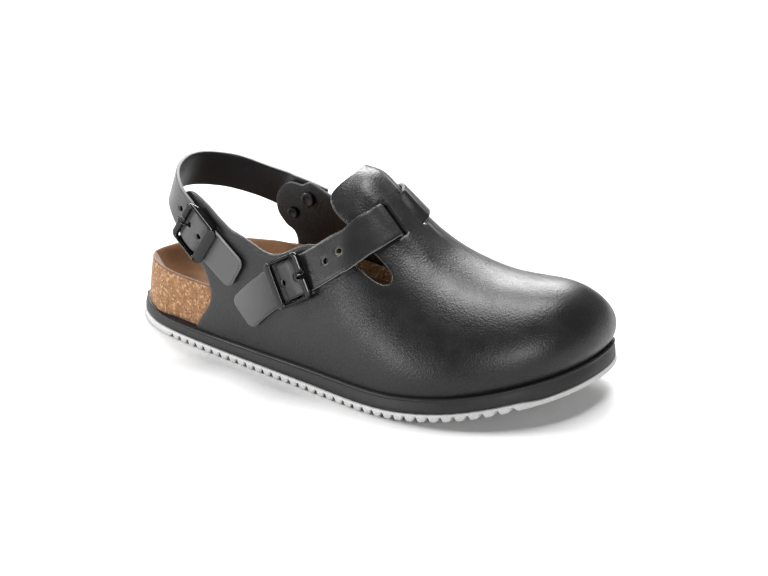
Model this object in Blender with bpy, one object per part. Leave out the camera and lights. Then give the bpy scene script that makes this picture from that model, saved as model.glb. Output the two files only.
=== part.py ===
"""A closed-toe work clog for the right foot, built as separate pieces.

Ribbed outsole, foam midsole, cork footbed with a suede lining, a one-piece leather
upper, an instep strap through two slots, a heel strap, two buckles and two rivets.
The toe points along +X, the inner (medial) side is +Y, and the sole stands on Z = 0.
"""
import bmesh
import bpy
import numpy as np
from mathutils import Vector
from mathutils.geometry import delaunay_2d_cdt

# Driving sizes of the sole, in metres
LENGTH = 0.280
BALL_WIDTH = 0.112
RIB_DEPTH = 0.0026
OUTSOLE_PLATE = 0.0016
MIDSOLE = 0.0080
MIDSOLE_HEEL = 0.0054
TOE_SPRING = 0.016
TOE_THINNING = 0.0015
HEEL_BEVEL = 0.0020
RIB_PITCH = 0.0063
GAP = 0.0003

# Driving sizes of the upper and the footbed
INSTEP_HEIGHT = 0.106
WALL = 0.0022
CORK_FLOOR = 0.0100
CORK_RIM = 0.0250
SUEDE = 0.0012
TOE_BULGE = 0.0013
SIDE_BULGE = 0.0015
BULGE_REACH = 0.90
FEATHER = 0.0034
CORK_FOOT_INSET = -0.0004
CORK_RIM_INSET = 0.0030
FITTED = 0.0005

# Driving sizes of the straps and their hardware
STRAP_WIDTH = 0.0200
STRAP = 0.0022
HOLE_PITCH = 0.0088
PIN_HOLE = 0.0017
SLOT_WIDTH = 0.0068
UNDER_BRIDGE = 0.0009
ON_BRANCH = 0.0010
BRIDGE_RAISE = 0.0016
BUCKLE_LENGTH = 0.0250
BUCKLE_WIDTH = 0.0254
RAIL = 0.0017
BAR = 0.0035
PLATE = 0.0060
BAR_THICK = 0.0024
CENTRE_BAR = 0.0010
PRONG = 0.00065
RIVET_SHANK = 0.0015
RIVET_PLAY = 0.0007

# Sole outline: share of LENGTH from the heel, share of BALL_WIDTH (lateral is negative)
OUTLINE = (
    (0.000, 0.050), (0.010, -0.010), (0.045, -0.120), (0.105, -0.222), (0.210, -0.305),
    (0.350, -0.388), (0.490, -0.466), (0.625, -0.541), (0.715, -0.562), (0.805, -0.518),
    (0.885, -0.400), (0.950, -0.235), (0.987, -0.055), (1.000, 0.130), (0.993, 0.300),
    (0.965, 0.400), (0.890, 0.458), (0.780, 0.460), (0.670, 0.445), (0.560, 0.405),
    (0.450, 0.350), (0.330, 0.318), (0.200, 0.332), (0.105, 0.320), (0.045, 0.250),
    (0.010, 0.150),
)

# Last: station share of LENGTH, ridge height share of INSTEP_HEIGHT, fullness, ridge shift to medial
LAST = np.array((
    (0.00, 1.450, 3.00, 0.00),
    (0.30, 1.400, 3.00, 0.00),
    (0.40, 1.180, 2.70, 0.05),
    (0.46, 1.070, 2.40, 0.08),
    (0.50, 1.045, 2.25, 0.10),
    (0.54, 1.030, 2.15, 0.12),
    (0.58, 0.955, 2.10, 0.12),
    (0.66, 0.775, 2.15, 0.13),
    (0.74, 0.660, 2.20, 0.12),
    (0.82, 0.602, 2.30, 0.08),
    (0.90, 0.586, 2.45, 0.04),
    (1.00, 0.576, 2.50, 0.00),
))
TOE_START = 0.875
TOE_ROUNDNESS = 3.0

# Midsole's wall: inset from the outline, share of its thickness
MIDSOLE_WALL = ((0.0006, 0.0), (0.0012, 0.6), (0.0028, 1.0))

# Footbed: station share of LENGTH, floor share of CORK_FLOOR, lateral and medial rim share of CORK_RIM
FOOTBED = np.array((
    (0.00, 1.05, 0.88, 0.88),
    (0.10, 1.00, 0.98, 1.10),
    (0.22, 1.15, 1.00, 1.27),
    (0.36, 1.45, 0.97, 1.40),
    (0.50, 1.15, 0.80, 1.10),
    (0.66, 0.75, 0.60, 0.70),
    (0.82, 0.65, 0.42, 0.44),
    (1.00, 0.45, 0.26, 0.26),
))

# Edge of the upper from the lateral to the medial foot: share of the side, turn (0 lateral, 1 ridge, 2 medial)
TOPLINE = (
    (0.205, 0.000), (0.220, 0.035), (0.243, 0.085), (0.244, 0.130), (0.228, 0.170), (0.200, 0.197),
    (0.179, 0.230), (0.172, 0.275), (0.180, 0.322), (0.202, 0.340), (0.235, 0.325), (0.265, 0.302),
    (0.295, 0.284), (0.332, 0.283), (0.370, 0.297), (0.400, 0.335), (0.435, 0.410), (0.466, 0.444),
    (0.502, 0.445), (0.540, 0.450), (0.574, 0.462), (0.592, 0.492), (0.597, 0.530), (0.590, 0.562),
    (0.566, 0.566), (0.535, 0.558), (0.505, 0.574), (0.483, 0.598), (0.469, 0.635), (0.466, 0.680),
    (0.471, 0.740), (0.481, 0.840), (0.486, 0.920), (0.487, 1.000), (0.486, 1.080), (0.481, 1.160),
    (0.471, 1.260), (0.466, 1.320), (0.469, 1.365), (0.483, 1.402), (0.505, 1.426), (0.535, 1.442),
    (0.566, 1.434), (0.590, 1.438), (0.597, 1.470), (0.592, 1.508), (0.574, 1.538), (0.540, 1.550),
    (0.502, 1.556), (0.466, 1.572), (0.430, 1.612), (0.390, 1.630), (0.350, 1.645), (0.328, 1.676),
    (0.298, 1.690), (0.277, 1.722), (0.276, 1.765), (0.293, 1.797), (0.313, 1.816), (0.316, 1.860),
    (0.295, 1.920), (0.270, 2.000),
)

# Instep strap's centre line from its tail to its medial end: share of the side, turn
STRAP_LINE = (
    (0.323, 0.090), (0.372, 0.182), (0.424, 0.281), (0.460, 0.348), (0.494, 0.425), (0.524, 0.515),
    (0.549, 0.650), (0.567, 0.793), (0.576, 0.910), (0.578, 1.020), (0.571, 1.150), (0.553, 1.320),
    (0.522, 1.500), (0.470, 1.650), (0.425, 1.745), (0.390, 1.815),
)
STRAP_AT_BUCKLE = 2
STRAP_AT_LATERAL_SLOT = 7
STRAP_AT_MEDIAL_SLOT = 9

# Strap through a buckle: share of BUCKLE_LENGTH along the strap, lift share of STRAP
BUCKLE_FOLD = np.array((
    (-0.52, 0.00), (-0.29, 0.25), (-0.08, 1.00), (0.08, 1.00), (0.26, 0.70), (0.36, 0.32), (0.56, 0.00),
))
# Punched holes: distance from the buckle in shares of HOLE_PITCH, the second takes the prong
INSTEP_HOLES = (-0.40, 0.70, 2.72, 3.74)
HEEL_HOLES = (-0.30, 0.70, 1.90)
# Prong: share of BUCKLE_LENGTH along the strap, height share of BAR_THICK
PRONG_LINE = ((0.078, 0.48), (0.19, 0.50), (0.225, 0.80), (0.245, 1.60), (0.27, 2.70), (0.33, 3.16), (0.44, 3.17),
              (0.53, 2.95))

# Heel strap between the leather branches: shares of LENGTH, BALL_WIDTH and INSTEP_HEIGHT, lean of its top inwards
HEEL_LINE = (
    (-0.312, 0.258, 0.780, 0.05), (-0.343, 0.190, 0.810, 0.12), (-0.365, 0.100, 0.832, 0.20),
    (-0.372, 0.010, 0.836, 0.28), (-0.364, -0.090, 0.820, 0.28), (-0.340, -0.172, 0.785, 0.18),
)
# Where it lies on the branches: share of the side, turn
HEEL_ON_MEDIAL = ((0.366, 1.706), (0.338, 1.718), (0.306, 1.724), (0.274, 1.714))
HEEL_ON_LATERAL = ((0.200, 0.283), (0.228, 0.256), (0.250, 0.237), (0.272, 0.218), (0.293, 0.200), (0.312, 0.184))
HEEL_BUCKLE = 1
# Rivets: distance from the strap's end and offset across it in shares of LENGTH, head radius
RIVET_SPOTS = ((0.0304, -0.0100, 0.0043), (0.0600, 0.0250, 0.0034))
JOINT_WIDENING = 0.20

# One rib of the tread: share of the pitch, share of the depth above the tip
RIB = ((0.00, 1.00), (0.12, 0.30), (0.24, 0.00), (0.60, 0.00), (0.74, 0.25), (0.88, 1.00))
RIBS_FROM = 0.140
RIBS_TO = 0.905

OUTLINE_STEPS = 16
SIDE_STEPS = 28
PATTERN_GIRTH = 0.115
UPPER_SPACING = 0.0075
STRAP_SPACING = 0.0054


def smoothstep(value):
    """0 below 0, 1 above 1, and 3v2 - 2v3 between."""
    value = np.clip(value, 0.0, 1.0)
    return value * value * (3.0 - 2.0 * value)


def unit(vectors):
    return vectors / np.maximum(np.linalg.norm(vectors, axis=-1, keepdims=True), 1e-12)


def spline(nodes, steps, closed=False):
    """Catmull-Rom curve through the nodes, with the given steps in each span."""
    nodes = np.asarray(nodes, float)
    if not closed:
        nodes = np.vstack([2 * nodes[:1] - nodes[1:2], nodes, 2 * nodes[-1:] - nodes[-2:-1]])
    before, here, after, beyond = (np.roll(nodes, k, 0)[:, None, :] for k in (1, 0, -1, -2))
    t = np.linspace(0.0, 1.0, steps, endpoint=False)[None, :, None]
    curve = 0.5 * (2 * here + (after - before) * t
                   + (2 * before - 5 * here + 4 * after - beyond) * t ** 2
                   + (3 * here - before - 3 * after + beyond) * t ** 3)
    if closed:
        return curve.reshape(-1, nodes.shape[1])
    return np.vstack([curve[1:-2].reshape(-1, nodes.shape[1]), nodes[-2:-1]])


def arc(points):
    """Running length along a line of points."""
    return np.r_[0.0, np.cumsum(np.linalg.norm(np.diff(points, axis=0), axis=1))]


def read(points, at, where):
    """Linear reading of a line of points whose running positions are known."""
    return np.stack([np.interp(where, at, points[:, k]) for k in range(points.shape[1])], -1)


def table(rows, station, column):
    """Monotone cubic reading of one column of a table at the stations."""
    x, y = rows[:, 0], rows[:, column]
    width = np.diff(x)
    slope = np.diff(y) / width
    tangent = np.concatenate([slope[:1], np.zeros(len(x) - 2), slope[-1:]])
    product = slope[:-1] * slope[1:]
    total = slope[:-1] + slope[1:]
    tangent[1:-1] = np.where(product > 0, 2 * product / np.where(product > 0, total, 1.0), 0.0)
    station = np.clip(station, x[0], x[-1])
    k = np.clip(np.searchsorted(x, station) - 1, 0, len(width) - 1)
    t = (station - x[k]) / width[k]
    return ((1 + 2 * t) * (1 - t) ** 2 * y[k] + t * (1 - t) ** 2 * width[k] * tangent[k]
            + t * t * (3 - 2 * t) * y[k + 1] + t * t * (t - 1) * width[k] * tangent[k + 1])


def outline_sides():
    """Points, outward normals and arc shares of the lateral (-1) and medial (1) side, heel to toe."""
    loop = spline(OUTLINE, OUTLINE_STEPS, closed=True)
    low, high = loop.min(0), loop.max(0)
    loop = (loop - (low + high) / 2) / (high - low) * [LENGTH, BALL_WIDTH]
    tangent = unit(np.roll(loop, -1, 0) - np.roll(loop, 1, 0))
    normal = np.stack([tangent[:, 1], -tangent[:, 0]], 1)
    heel = loop[:, 0].argmin()
    loop, normal = np.roll(loop, -heel, 0), np.roll(normal, -heel, 0)
    toe = loop[:, 0].argmax()
    lateral = (loop[:toe + 1], normal[:toe + 1])
    medial = (np.vstack([loop[toe:], loop[:1]])[::-1], np.vstack([normal[toe:], normal[:1]])[::-1])
    return {side: (line, normals, arc(line)) for side, (line, normals) in ((-1, lateral), (1, medial))}


SIDES = outline_sides()
SIDE_LENGTH = (SIDES[-1][2][-1] + SIDES[1][2][-1]) / 2


def edge(share, side, inset):
    """Outline point at an arc share of one side, moved inwards by the inset."""
    points, normals, run = SIDES[side]
    return read(points - normals * inset, run, np.asarray(share) * run[-1])


def edge_normal(share, side):
    points, normals, run = SIDES[side]
    return unit(read(normals, run, np.asarray(share) * run[-1]))


def toe_rise(x):
    """Toe spring: how far the sole lifts off the floor ahead of the ball."""
    return TOE_SPRING * np.clip((x / LENGTH - 0.10) / 0.40, 0.0, 1.0) ** 1.9


OUTSOLE = OUTSOLE_PLATE + RIB_DEPTH


def rubber(x):
    """Thickness of the outsole, thinner in front of the ribs."""
    return OUTSOLE - TOE_THINNING * smoothstep((x / LENGTH + 0.5 - RIBS_TO) / 0.04)


def deck(x):
    """Height of the midsole's upper face over a foam that is thinner at the heel."""
    foam = MIDSOLE_HEEL + (MIDSOLE - MIDSOLE_HEEL) * smoothstep((x / LENGTH + 0.40) / 0.50)
    return OUTSOLE + GAP + foam + toe_rise(x)


def section(share, side):
    """Feather and ridge point in plan, their heights, the toe's closing and the fullness of the arch."""
    lateral, medial = edge(share, -1, FEATHER), edge(share, 1, FEATHER)
    foot = lateral if side < 0 else medial
    middle = (lateral + medial) / 2
    station = middle[..., 0] / LENGTH + 0.5
    ridge = middle + (medial - middle) * table(LAST, station, 3)[..., None]
    low = deck(foot[..., 0]) + GAP
    tip = edge(1.0, -1, FEATHER)[0] / LENGTH + 0.5
    closing = np.clip((station - TOE_START) / (tip - TOE_START), 0.0, 1.0)
    crown = (1 - closing ** TOE_ROUNDNESS) ** (1 / TOE_ROUNDNESS)
    high = low + (table(LAST, station, 1) * INSTEP_HEIGHT - low) * crown
    return foot, ridge, low, high, crown, table(LAST, station, 2)


def bulge(climb, x):
    """How far the leather swells past the feather line: full at a third of its reach, most at the toe."""
    toe = smoothstep((x / LENGTH - 0.25) / 0.2)
    up = np.clip(climb / BULGE_REACH, 0.0, 1.0)
    return (SIDE_BULGE + TOE_BULGE * toe) * 6.75 * up * (1.0 - up) ** 2


def half_arch(share, height, side):
    """Superellipse arch from the feather (height 0) to the ridge (height 1)."""
    foot, ridge, low, high, crown, fullness = section(share, side)
    cosine = np.cos(height * np.pi / 2).clip(0.0, 1.0)
    sine = np.sin(height * np.pi / 2).clip(0.0, 1.0)
    radius = (cosine ** fullness + sine ** fullness) ** (-1 / fullness)
    rise = sine * radius
    plan = ridge + (foot - ridge) * (cosine * radius)[..., None]
    front = (sine * smoothstep((share - 0.85) / 0.10))[..., None]
    outward = unit(edge_normal(share, side) * (1 - front) + edge_normal(1.0, side) * front)
    plan = plan + outward * bulge(rise * crown, plan[..., 0])[..., None]
    return np.concatenate([plan, (low + (high - low) * rise)[..., None]], -1)


def arch(share, turn):
    """Surface of the last: turn runs from the lateral feather (0) over the ridge (1) to the medial one (2)."""
    share, turn = np.broadcast_arrays(np.clip(share, 0.0, 1.0), np.clip(turn, 0.0, 2.0))
    lateral = half_arch(share, np.minimum(turn, 1.0), -1)
    medial = half_arch(share, np.minimum(2.0 - turn, 1.0), 1)
    return np.where((turn <= 1.0)[..., None], lateral, medial)


def slopes(share, turn):
    """Steps of the surface along the share and along the turn."""
    step = 0.004
    share = np.clip(share, step, 0.985)
    turn = np.clip(turn, step, 2.0 - step)
    along = (arch(share + step, turn) - arch(share - step, turn)) / (2 * step)
    over = (arch(share, turn + step) - arch(share, turn - step)) / (2 * step)
    return along, over


def normal_at(share, turn):
    """Outward normal of the last, turned to the toe's own direction at the very tip."""
    along, over = slopes(share, turn)
    tip = np.append(edge_normal(1.0, -1), 0.0)
    blend = smoothstep((share - 0.975) / 0.025)[..., None]
    return unit(unit(np.cross(along, over)) * (1 - blend) + tip * blend)


def on_last(pattern, lift=0.0):
    """Flat pattern points laid on the last and moved out along its normal."""
    share = pattern[..., 0] / SIDE_LENGTH
    turn = pattern[..., 1] / PATTERN_GIRTH + 1.0
    normal = normal_at(share, turn)
    raised = lift + bridge_lift(pattern)
    return arch(share, turn) + normal * np.asarray(raised)[..., None]


def flat(rows):
    """Pattern points of rows of share and turn."""
    rows = np.asarray(rows, float)
    return np.stack([rows[..., 0] * SIDE_LENGTH, (rows[..., 1] - 1.0) * PATTERN_GIRTH], -1)


def across_steps(rows):
    """For each point of a line on the last, the share and turn steps that move one metre across it."""
    along, over = slopes(rows[:, 0], rows[:, 1])
    tangent = unit(np.gradient(arch(rows[:, 0], rows[:, 1]), axis=0))
    normal = normal_at(rows[:, 0], rows[:, 1])
    across = np.cross(normal, tangent)
    aa, oo, ao = (along * along).sum(-1), (over * over).sum(-1), (along * over).sum(-1)
    ca, co = (across * along).sum(-1), (across * over).sum(-1)
    det = aa * oo - ao * ao
    return np.stack([(oo * ca - ao * co) / det, (aa * co - ao * ca) / det], -1)


# The instep strap's line, its running length and the places of its buckle and slots on it
LINE_STEPS = 12
LINE = spline(STRAP_LINE, LINE_STEPS)
LINE_RUN = arc(arch(LINE[:, 0], LINE[:, 1]))
LINE_ACROSS = across_steps(LINE)
AT_BUCKLE = LINE_RUN[STRAP_AT_BUCKLE * LINE_STEPS]
AT_LATERAL_SLOT = LINE_RUN[STRAP_AT_LATERAL_SLOT * LINE_STEPS]
AT_MEDIAL_SLOT = LINE_RUN[STRAP_AT_MEDIAL_SLOT * LINE_STEPS]


def beside_line(run, offset):
    """Pattern point at a running length of the strap's line and an offset across it."""
    rows = read(LINE, LINE_RUN, run) + read(LINE_ACROSS, LINE_RUN, run) * np.asarray(offset)[..., None]
    return flat(rows)


def bridge_lift(pattern):
    """The strip between the slots stands a little proud over the strap beneath it."""
    lateral, medial = beside_line(AT_LATERAL_SLOT, 0.0), beside_line(AT_MEDIAL_SLOT, 0.0)
    middle = (lateral + medial) / 2
    half = (medial[1] - lateral[1]) / 2
    along = smoothstep((STRAP_WIDTH * 0.80 - np.abs(pattern[..., 0] - middle[0])) / (STRAP_WIDTH * 0.30))
    over = smoothstep((half + 0.004 - np.abs(pattern[..., 1] - middle[1])) / 0.006)
    return BRIDGE_RAISE * along * over


def inside(points, loop):
    """Even-odd test of points against a closed loop."""
    x, y = points[:, :1], points[:, 1:]
    x0, y0 = loop[:, 0], loop[:, 1]
    x1, y1 = np.roll(loop, -1, 0).T
    crosses = (y0 > y) != (y1 > y)
    level = np.where(y1 == y0, 1.0, y1 - y0)
    return (crosses & (x < x0 + (y - y0) * (x1 - x0) / level)).sum(1) % 2 == 1


def clear_of(points, loop, distance):
    """True for points farther than a distance from a closed loop."""
    start, span = loop, np.roll(loop, -1, 0) - loop
    offset = points[:, None, :] - start
    t = np.clip((offset * span).sum(-1) / np.maximum((span * span).sum(-1), 1e-12), 0.0, 1.0)
    return np.linalg.norm(offset - span * t[..., None], axis=-1).min(1) > distance


def new_object(name, points, faces, colour, roughness, metallic=0.0):
    """One closed object with outward faces and its own material."""
    mesh = bpy.data.meshes.new(name)
    mesh.from_pydata([tuple(p) for p in points], [], [tuple(int(i) for i in f) for f in faces])
    bm = bmesh.new()
    bm.from_mesh(mesh)
    bmesh.ops.remove_doubles(bm, verts=bm.verts, dist=0.00001)
    bmesh.ops.triangulate(bm, faces=bm.faces)
    bmesh.ops.recalc_face_normals(bm, faces=bm.faces)
    if bm.calc_volume(signed=True) < 0:
        bmesh.ops.reverse_faces(bm, faces=bm.faces)
    bm.to_mesh(mesh)
    bm.free()
    mesh.shade_smooth()
    mesh.set_sharp_from_angle(angle=0.6)
    obj = bpy.data.objects.new(name, mesh)
    bpy.context.scene.collection.objects.link(obj)
    material = bpy.data.materials.new(name)
    material.use_nodes = True
    shader = material.node_tree.nodes["Principled BSDF"]
    shader.inputs["Base Color"].default_value = (*colour, 1.0)
    shader.inputs["Roughness"].default_value = roughness
    shader.inputs["Metallic"].default_value = metallic
    mesh.materials.append(material)
    return obj


def sheet(pattern, holes, grid, spacing, place, outer, inner):
    """A flat pattern with holes, cut into triangles and folded into a piece with two faces."""
    loops = [pattern, *holes]
    points = np.vstack(loops)
    edges = []
    start = 0
    for loop in loops:
        edges += [(start + i, start + (i + 1) % len(loop)) for i in range(len(loop))]
        start += len(loop)
    grid = grid[inside(grid, pattern) & clear_of(grid, pattern, spacing)]
    for hole in holes:
        grid = grid[~inside(grid, hole) & clear_of(grid, hole, spacing)]
    points = np.vstack([points, grid])
    verts, _, faces, *_ = delaunay_2d_cdt([Vector(p) for p in points], edges, [], 0, 1e-7)
    verts = np.array([tuple(v) for v in verts])
    faces = np.array([tuple(f) for f in faces])
    centre = verts[faces].mean(1)
    keep = inside(centre, pattern)
    for hole in holes:
        keep &= ~inside(centre, hole)
    faces = faces[keep]
    count = len(verts)
    top, bottom = place(verts, outer), place(verts, inner)
    sides = np.vstack([faces[:, [0, 1]], faces[:, [1, 2]], faces[:, [2, 0]]])
    present = {tuple(s) for s in sides.tolist()}
    rim = [s for s in sides.tolist() if (s[1], s[0]) not in present]
    walls = [(a, b, b + count, a + count) for a, b in rim]
    all_faces = faces.tolist() + (faces[:, ::-1] + count).tolist() + walls
    return np.vstack([top, bottom]), all_faces


def rings(loops):
    """Closed skin through loops of equal count, each end closed by rungs between the two sides."""
    count = len(loops[0])
    half = count // 2
    faces = []
    points = np.vstack(loops)
    for k in range(len(loops) - 1):
        for i in range(count):
            j = (i + 1) % count
            a, b, c, d = k * count + i, k * count + j, (k + 1) * count + j, (k + 1) * count + i
            if points[a, 2] + points[c, 2] > points[b, 2] + points[d, 2]:
                faces += [(a, b, c), (a, c, d)]
            else:
                faces += [(a, b, d), (b, c, d)]
    for base, turn in ((0, -1), ((len(loops) - 1) * count, 1)):
        for i in range(half):
            a, b, c, d = (base + k for k in (i, i + 1, (count - i - 1) % count, (count - i) % count))
            if b != c:
                faces.append((a, b, c)[::turn])
            if a != d:
                faces.append((a, c, d)[::turn])
    return points, faces


SHARES = (1 - np.cos(np.linspace(0, np.pi, SIDE_STEPS + 1))) / 2 * 0.35 + np.linspace(0, 1, SIDE_STEPS + 1) * 0.65


def round_loop(point):
    """Loop of points up the lateral side and back down the medial side."""
    return np.vstack([point(SHARES, -1), point(SHARES[1:-1][::-1], 1)])


def build_outsole():
    """Plate and cross ribs between the two sides of the outline, folded at every rib."""
    first, last = (RIBS_FROM - 0.5) * LENGTH, (RIBS_TO - 0.5) * LENGTH
    count = round((last - first) / RIB_PITCH)
    pitch = (last - first) / count
    xs = [first + pitch * (k + share) for k in range(count) for share, _ in RIB]
    drops = [depth for _ in range(count) for _, depth in RIB]
    half = LENGTH / 2
    heel = -half + (first + half) * np.array([0.0, 0.01, 0.035, 0.08, 0.16, 0.28, 0.45, 0.65, 0.85])
    toe = half - (half - last) * np.array([0.95, 0.78, 0.6, 0.42, 0.28, 0.16, 0.08, 0.035, 0.01, 0.0])
    xs = np.r_[heel, xs, last, toe]
    drops = np.r_[np.zeros(len(heel)), drops, 1.0, np.zeros(len(toe))]
    sides = []
    for side in (-1, 1):
        line = SIDES[side][0]
        sides.append(np.interp(xs, line[:, 0], line[:, 1]))
    bevel = HEEL_BEVEL * np.clip((-half + 0.05 * LENGTH - xs) / (0.05 * LENGTH), 0.0, 1.0)
    low = toe_rise(xs) + drops * RIB_DEPTH + bevel
    high = toe_rise(xs) + rubber(xs)
    corners = [(sides[0], low), (sides[0], high), (sides[1], high), (sides[1], low)]
    points = np.stack([np.stack([xs, y, z], -1) for y, z in corners], 1)
    faces = [(4 * k + i, 4 * k + (i + 1) % 4, 4 * k + 4 + (i + 1) % 4, 4 * k + 4 + i)
             for k in range(len(xs) - 1) for i in range(4)]
    new_object("outsole", points.reshape(-1, 3), faces, (0.62, 0.61, 0.60), 0.65)


def build_midsole():
    """Foam band whose wall flares towards the floor."""
    def level(inset, climb):
        def point(share, side):
            plan = edge(share, side, inset)
            x = plan[:, 0]
            low = toe_rise(x) + rubber(x) + GAP
            return np.concatenate([plan, (low + (deck(x) - low) * climb)[:, None]], 1)
        return round_loop(point)
    loops = [level(inset, climb) for inset, climb in MIDSOLE_WALL]
    new_object("midsole", *rings(loops), (0.03, 0.03, 0.032), 0.6)


def cork_inset(share, climb):
    """The bare cork at the heel leans inwards; under the leather it draws in, most where the toe closes."""
    bare = CORK_FOOT_INSET + (CORK_RIM_INSET - CORK_FOOT_INSET) * np.clip(climb, 0.0, 1.0)
    leather = (WALL + FITTED - bare) * smoothstep((share - 0.10) / 0.06)
    return bare + leather + 0.0020 * smoothstep((share - 0.80) / 0.12)


def wall_point(share, side, height):
    """Point of the cork's wall at a height above the floor, inside the last's arch."""
    foot, ridge, low, high, crown, fullness = section(share, side)
    rise = np.clip((height - low) / np.maximum(high - low, 1e-6), 0.0, 1.0)
    out = (1 - rise ** fullness) ** (1 / fullness)
    plan = ridge + (foot - ridge) * out[:, None]
    climb = (height - low) / (cork_rim(share, side) - low)
    shift = bulge(rise * crown, plan[:, 0]) - cork_inset(share, climb)
    return np.concatenate([plan + edge_normal(share, side) * shift[:, None], height[:, None]], 1)


def cork_rim(share, side):
    x = edge(share, side, FEATHER)[:, 0]
    column = 2 if side < 0 else 3
    return deck(x) + table(FOOTBED, x / LENGTH + 0.5, column) * CORK_RIM


CUP_STEPS = ((0.00, 0.00), (0.03, 0.04), (0.10, 0.01), (0.17, -0.14), (0.27, -0.38), (0.42, -0.66), (0.66, -0.90),
             (1.00, -1.00))
CUP_WIDTH = 0.0185
CUP_WIDTH_TOE = 0.0080


def inward(share, side):
    """Direction in plan from the edge to the spine of the footbed, fanning round the heel and the toe."""
    spine = (edge(share, -1, 0.0) + edge(share, 1, 0.0)) / 2
    spine[:, 0] = np.clip(spine[:, 0], -0.375 * LENGTH, 0.28 * LENGTH)
    return unit(spine - edge(share, side, 0.0))


def cup_loop(across, fall):
    """Loop of the cork's upper face: a share of the cup's width inwards, a share of the way to its floor."""
    def point(share, side):
        rim = cork_rim(share, side)
        wall = wall_point(share, side, rim)
        width = CUP_WIDTH + (CUP_WIDTH_TOE - CUP_WIDTH) * smoothstep((share - 0.55) / 0.3)
        plan = wall[:, :2] + inward(share, side) * (width * across)[:, None]
        x = plan[:, 0]
        floor = deck(x) + GAP + table(FOOTBED, x / LENGTH + 0.5, 1) * CORK_FLOOR
        height = rim + (rim - floor) * np.minimum(fall, 0.0) + np.maximum(fall, 0.0) * 0.02
        return np.concatenate([plan, height[:, None]], 1)
    return round_loop(point)


def build_footbed():
    """Cork body: an upright wall, a rounded rim and the cup falling to its floor."""
    loops = []
    for share_up in (0.0, 0.33, 0.66):
        def point(share, side):
            base = section(share, side)[2]
            return wall_point(share, side, base + (cork_rim(share, side) - base) * share_up)
        loops.append(round_loop(point))
    loops += [cup_loop(across, fall) for across, fall in CUP_STEPS]
    new_object("footbed", *rings(loops), (0.42, 0.24, 0.12), 0.9)
    return loops[5:]


def build_lining(cup):
    """Suede skin that lies in the cup, offset along the cup's own normals."""
    cup = np.array(cup)
    around = np.roll(cup, -1, 1) - np.roll(cup, 1, 1)
    across = np.gradient(cup, axis=0)
    normal = unit(np.cross(around, across))
    normal *= np.where(normal[..., 2:] < 0, -1.0, 1.0)
    under = cup + normal * FITTED
    over = cup + normal * (FITTED + SUEDE)
    new_object("footbed_lining", *rings([*under[::-1], *over]), (0.30, 0.19, 0.12), 0.95)


def circle(centre, radius_along, radius_over, count=12):
    angle = np.arange(count) * 2 * np.pi / count
    return np.asarray(centre) + np.stack([np.cos(angle) * radius_along, np.sin(angle) * radius_over], 1)


def slot_loop(at):
    """Slot across the strap's line, a little longer than the strap is wide."""
    half, wide = SLOT_WIDTH / 2, STRAP_WIDTH / 2 + 0.0009
    ends = np.array([(-half, -wide), (half, -wide), (half, wide), (-half, wide)])
    counts = (2, 4, 2, 4)
    corners = [ends[i] + (ends[(i + 1) % 4] - ends[i]) * t
               for i in range(4) for t in np.linspace(0, 1, counts[i], endpoint=False)]
    corners = np.array(corners)
    return beside_line(at + corners[:, 0], corners[:, 1])


def pattern_of(point):
    """Share and turn of the last's point nearest to a point in space."""
    shares, turns = np.meshgrid(np.linspace(0.1, 0.5, 41), np.linspace(1.5, 1.95, 46))
    near = np.linalg.norm(arch(shares, turns) - point, axis=-1).argmin()
    rows = np.array([shares.ravel()[near], turns.ravel()[near]])
    for _ in range(6):
        along, over = slopes(rows[:1], rows[1:])
        matrix = np.stack([along[0], over[0]], 1)
        rest = point - arch(rows[0], rows[1])
        rows = rows + np.linalg.lstsq(matrix, rest, rcond=None)[0]
    return rows


def rivet_hole(rows):
    """Round hole of the leather under a rivet, as a pattern loop."""
    along, over = slopes(rows[:1], rows[1:])
    first = unit(along[0])
    second = np.cross(normal_at(rows[:1], rows[1:])[0], first)
    ring = circle((0.0, 0.0), RIVET_SHANK + FITTED, RIVET_SHANK + FITTED)
    spokes = ring[:, :1] * first + ring[:, 1:] * second
    steps = spokes @ np.linalg.pinv(np.stack([along[0], over[0]], 1)).T
    return flat(rows + steps)


def build_upper(rivet_rows):
    """Vamp, quarters and branches in one piece of leather, open underneath."""
    top = spline(flat(TOPLINE), 3)
    feather = np.linspace(1.0, TOPLINE[0][0], 34)[1:-1]
    lateral = flat(np.stack([feather, np.zeros(32)], 1))
    tip = flat(np.stack([np.ones(9), np.linspace(2.0, 0.0, 9)], 1))
    feather = np.linspace(TOPLINE[-1][0], 1.0, 32)[1:-1]
    medial = flat(np.stack([feather, np.full(30, 2.0)], 1))
    pattern = np.vstack([top, medial, tip, lateral])
    holes = [slot_loop(AT_LATERAL_SLOT), slot_loop(AT_MEDIAL_SLOT)]
    holes += [rivet_hole(rows) for rows in rivet_rows]
    low, high = pattern.min(0), pattern.max(0)
    xs = np.arange(high[0] - UPPER_SPACING * 0.75, low[0], -UPPER_SPACING)
    ys = np.arange(low[1] + UPPER_SPACING / 2, high[1], UPPER_SPACING)
    grid = np.stack(np.meshgrid(xs, ys), -1).reshape(-1, 2)
    made = sheet(pattern, holes, grid, UPPER_SPACING * 0.35, on_last, 0.0, -WALL)
    new_object("upper", *made, (0.022, 0.022, 0.024), 0.42)


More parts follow.
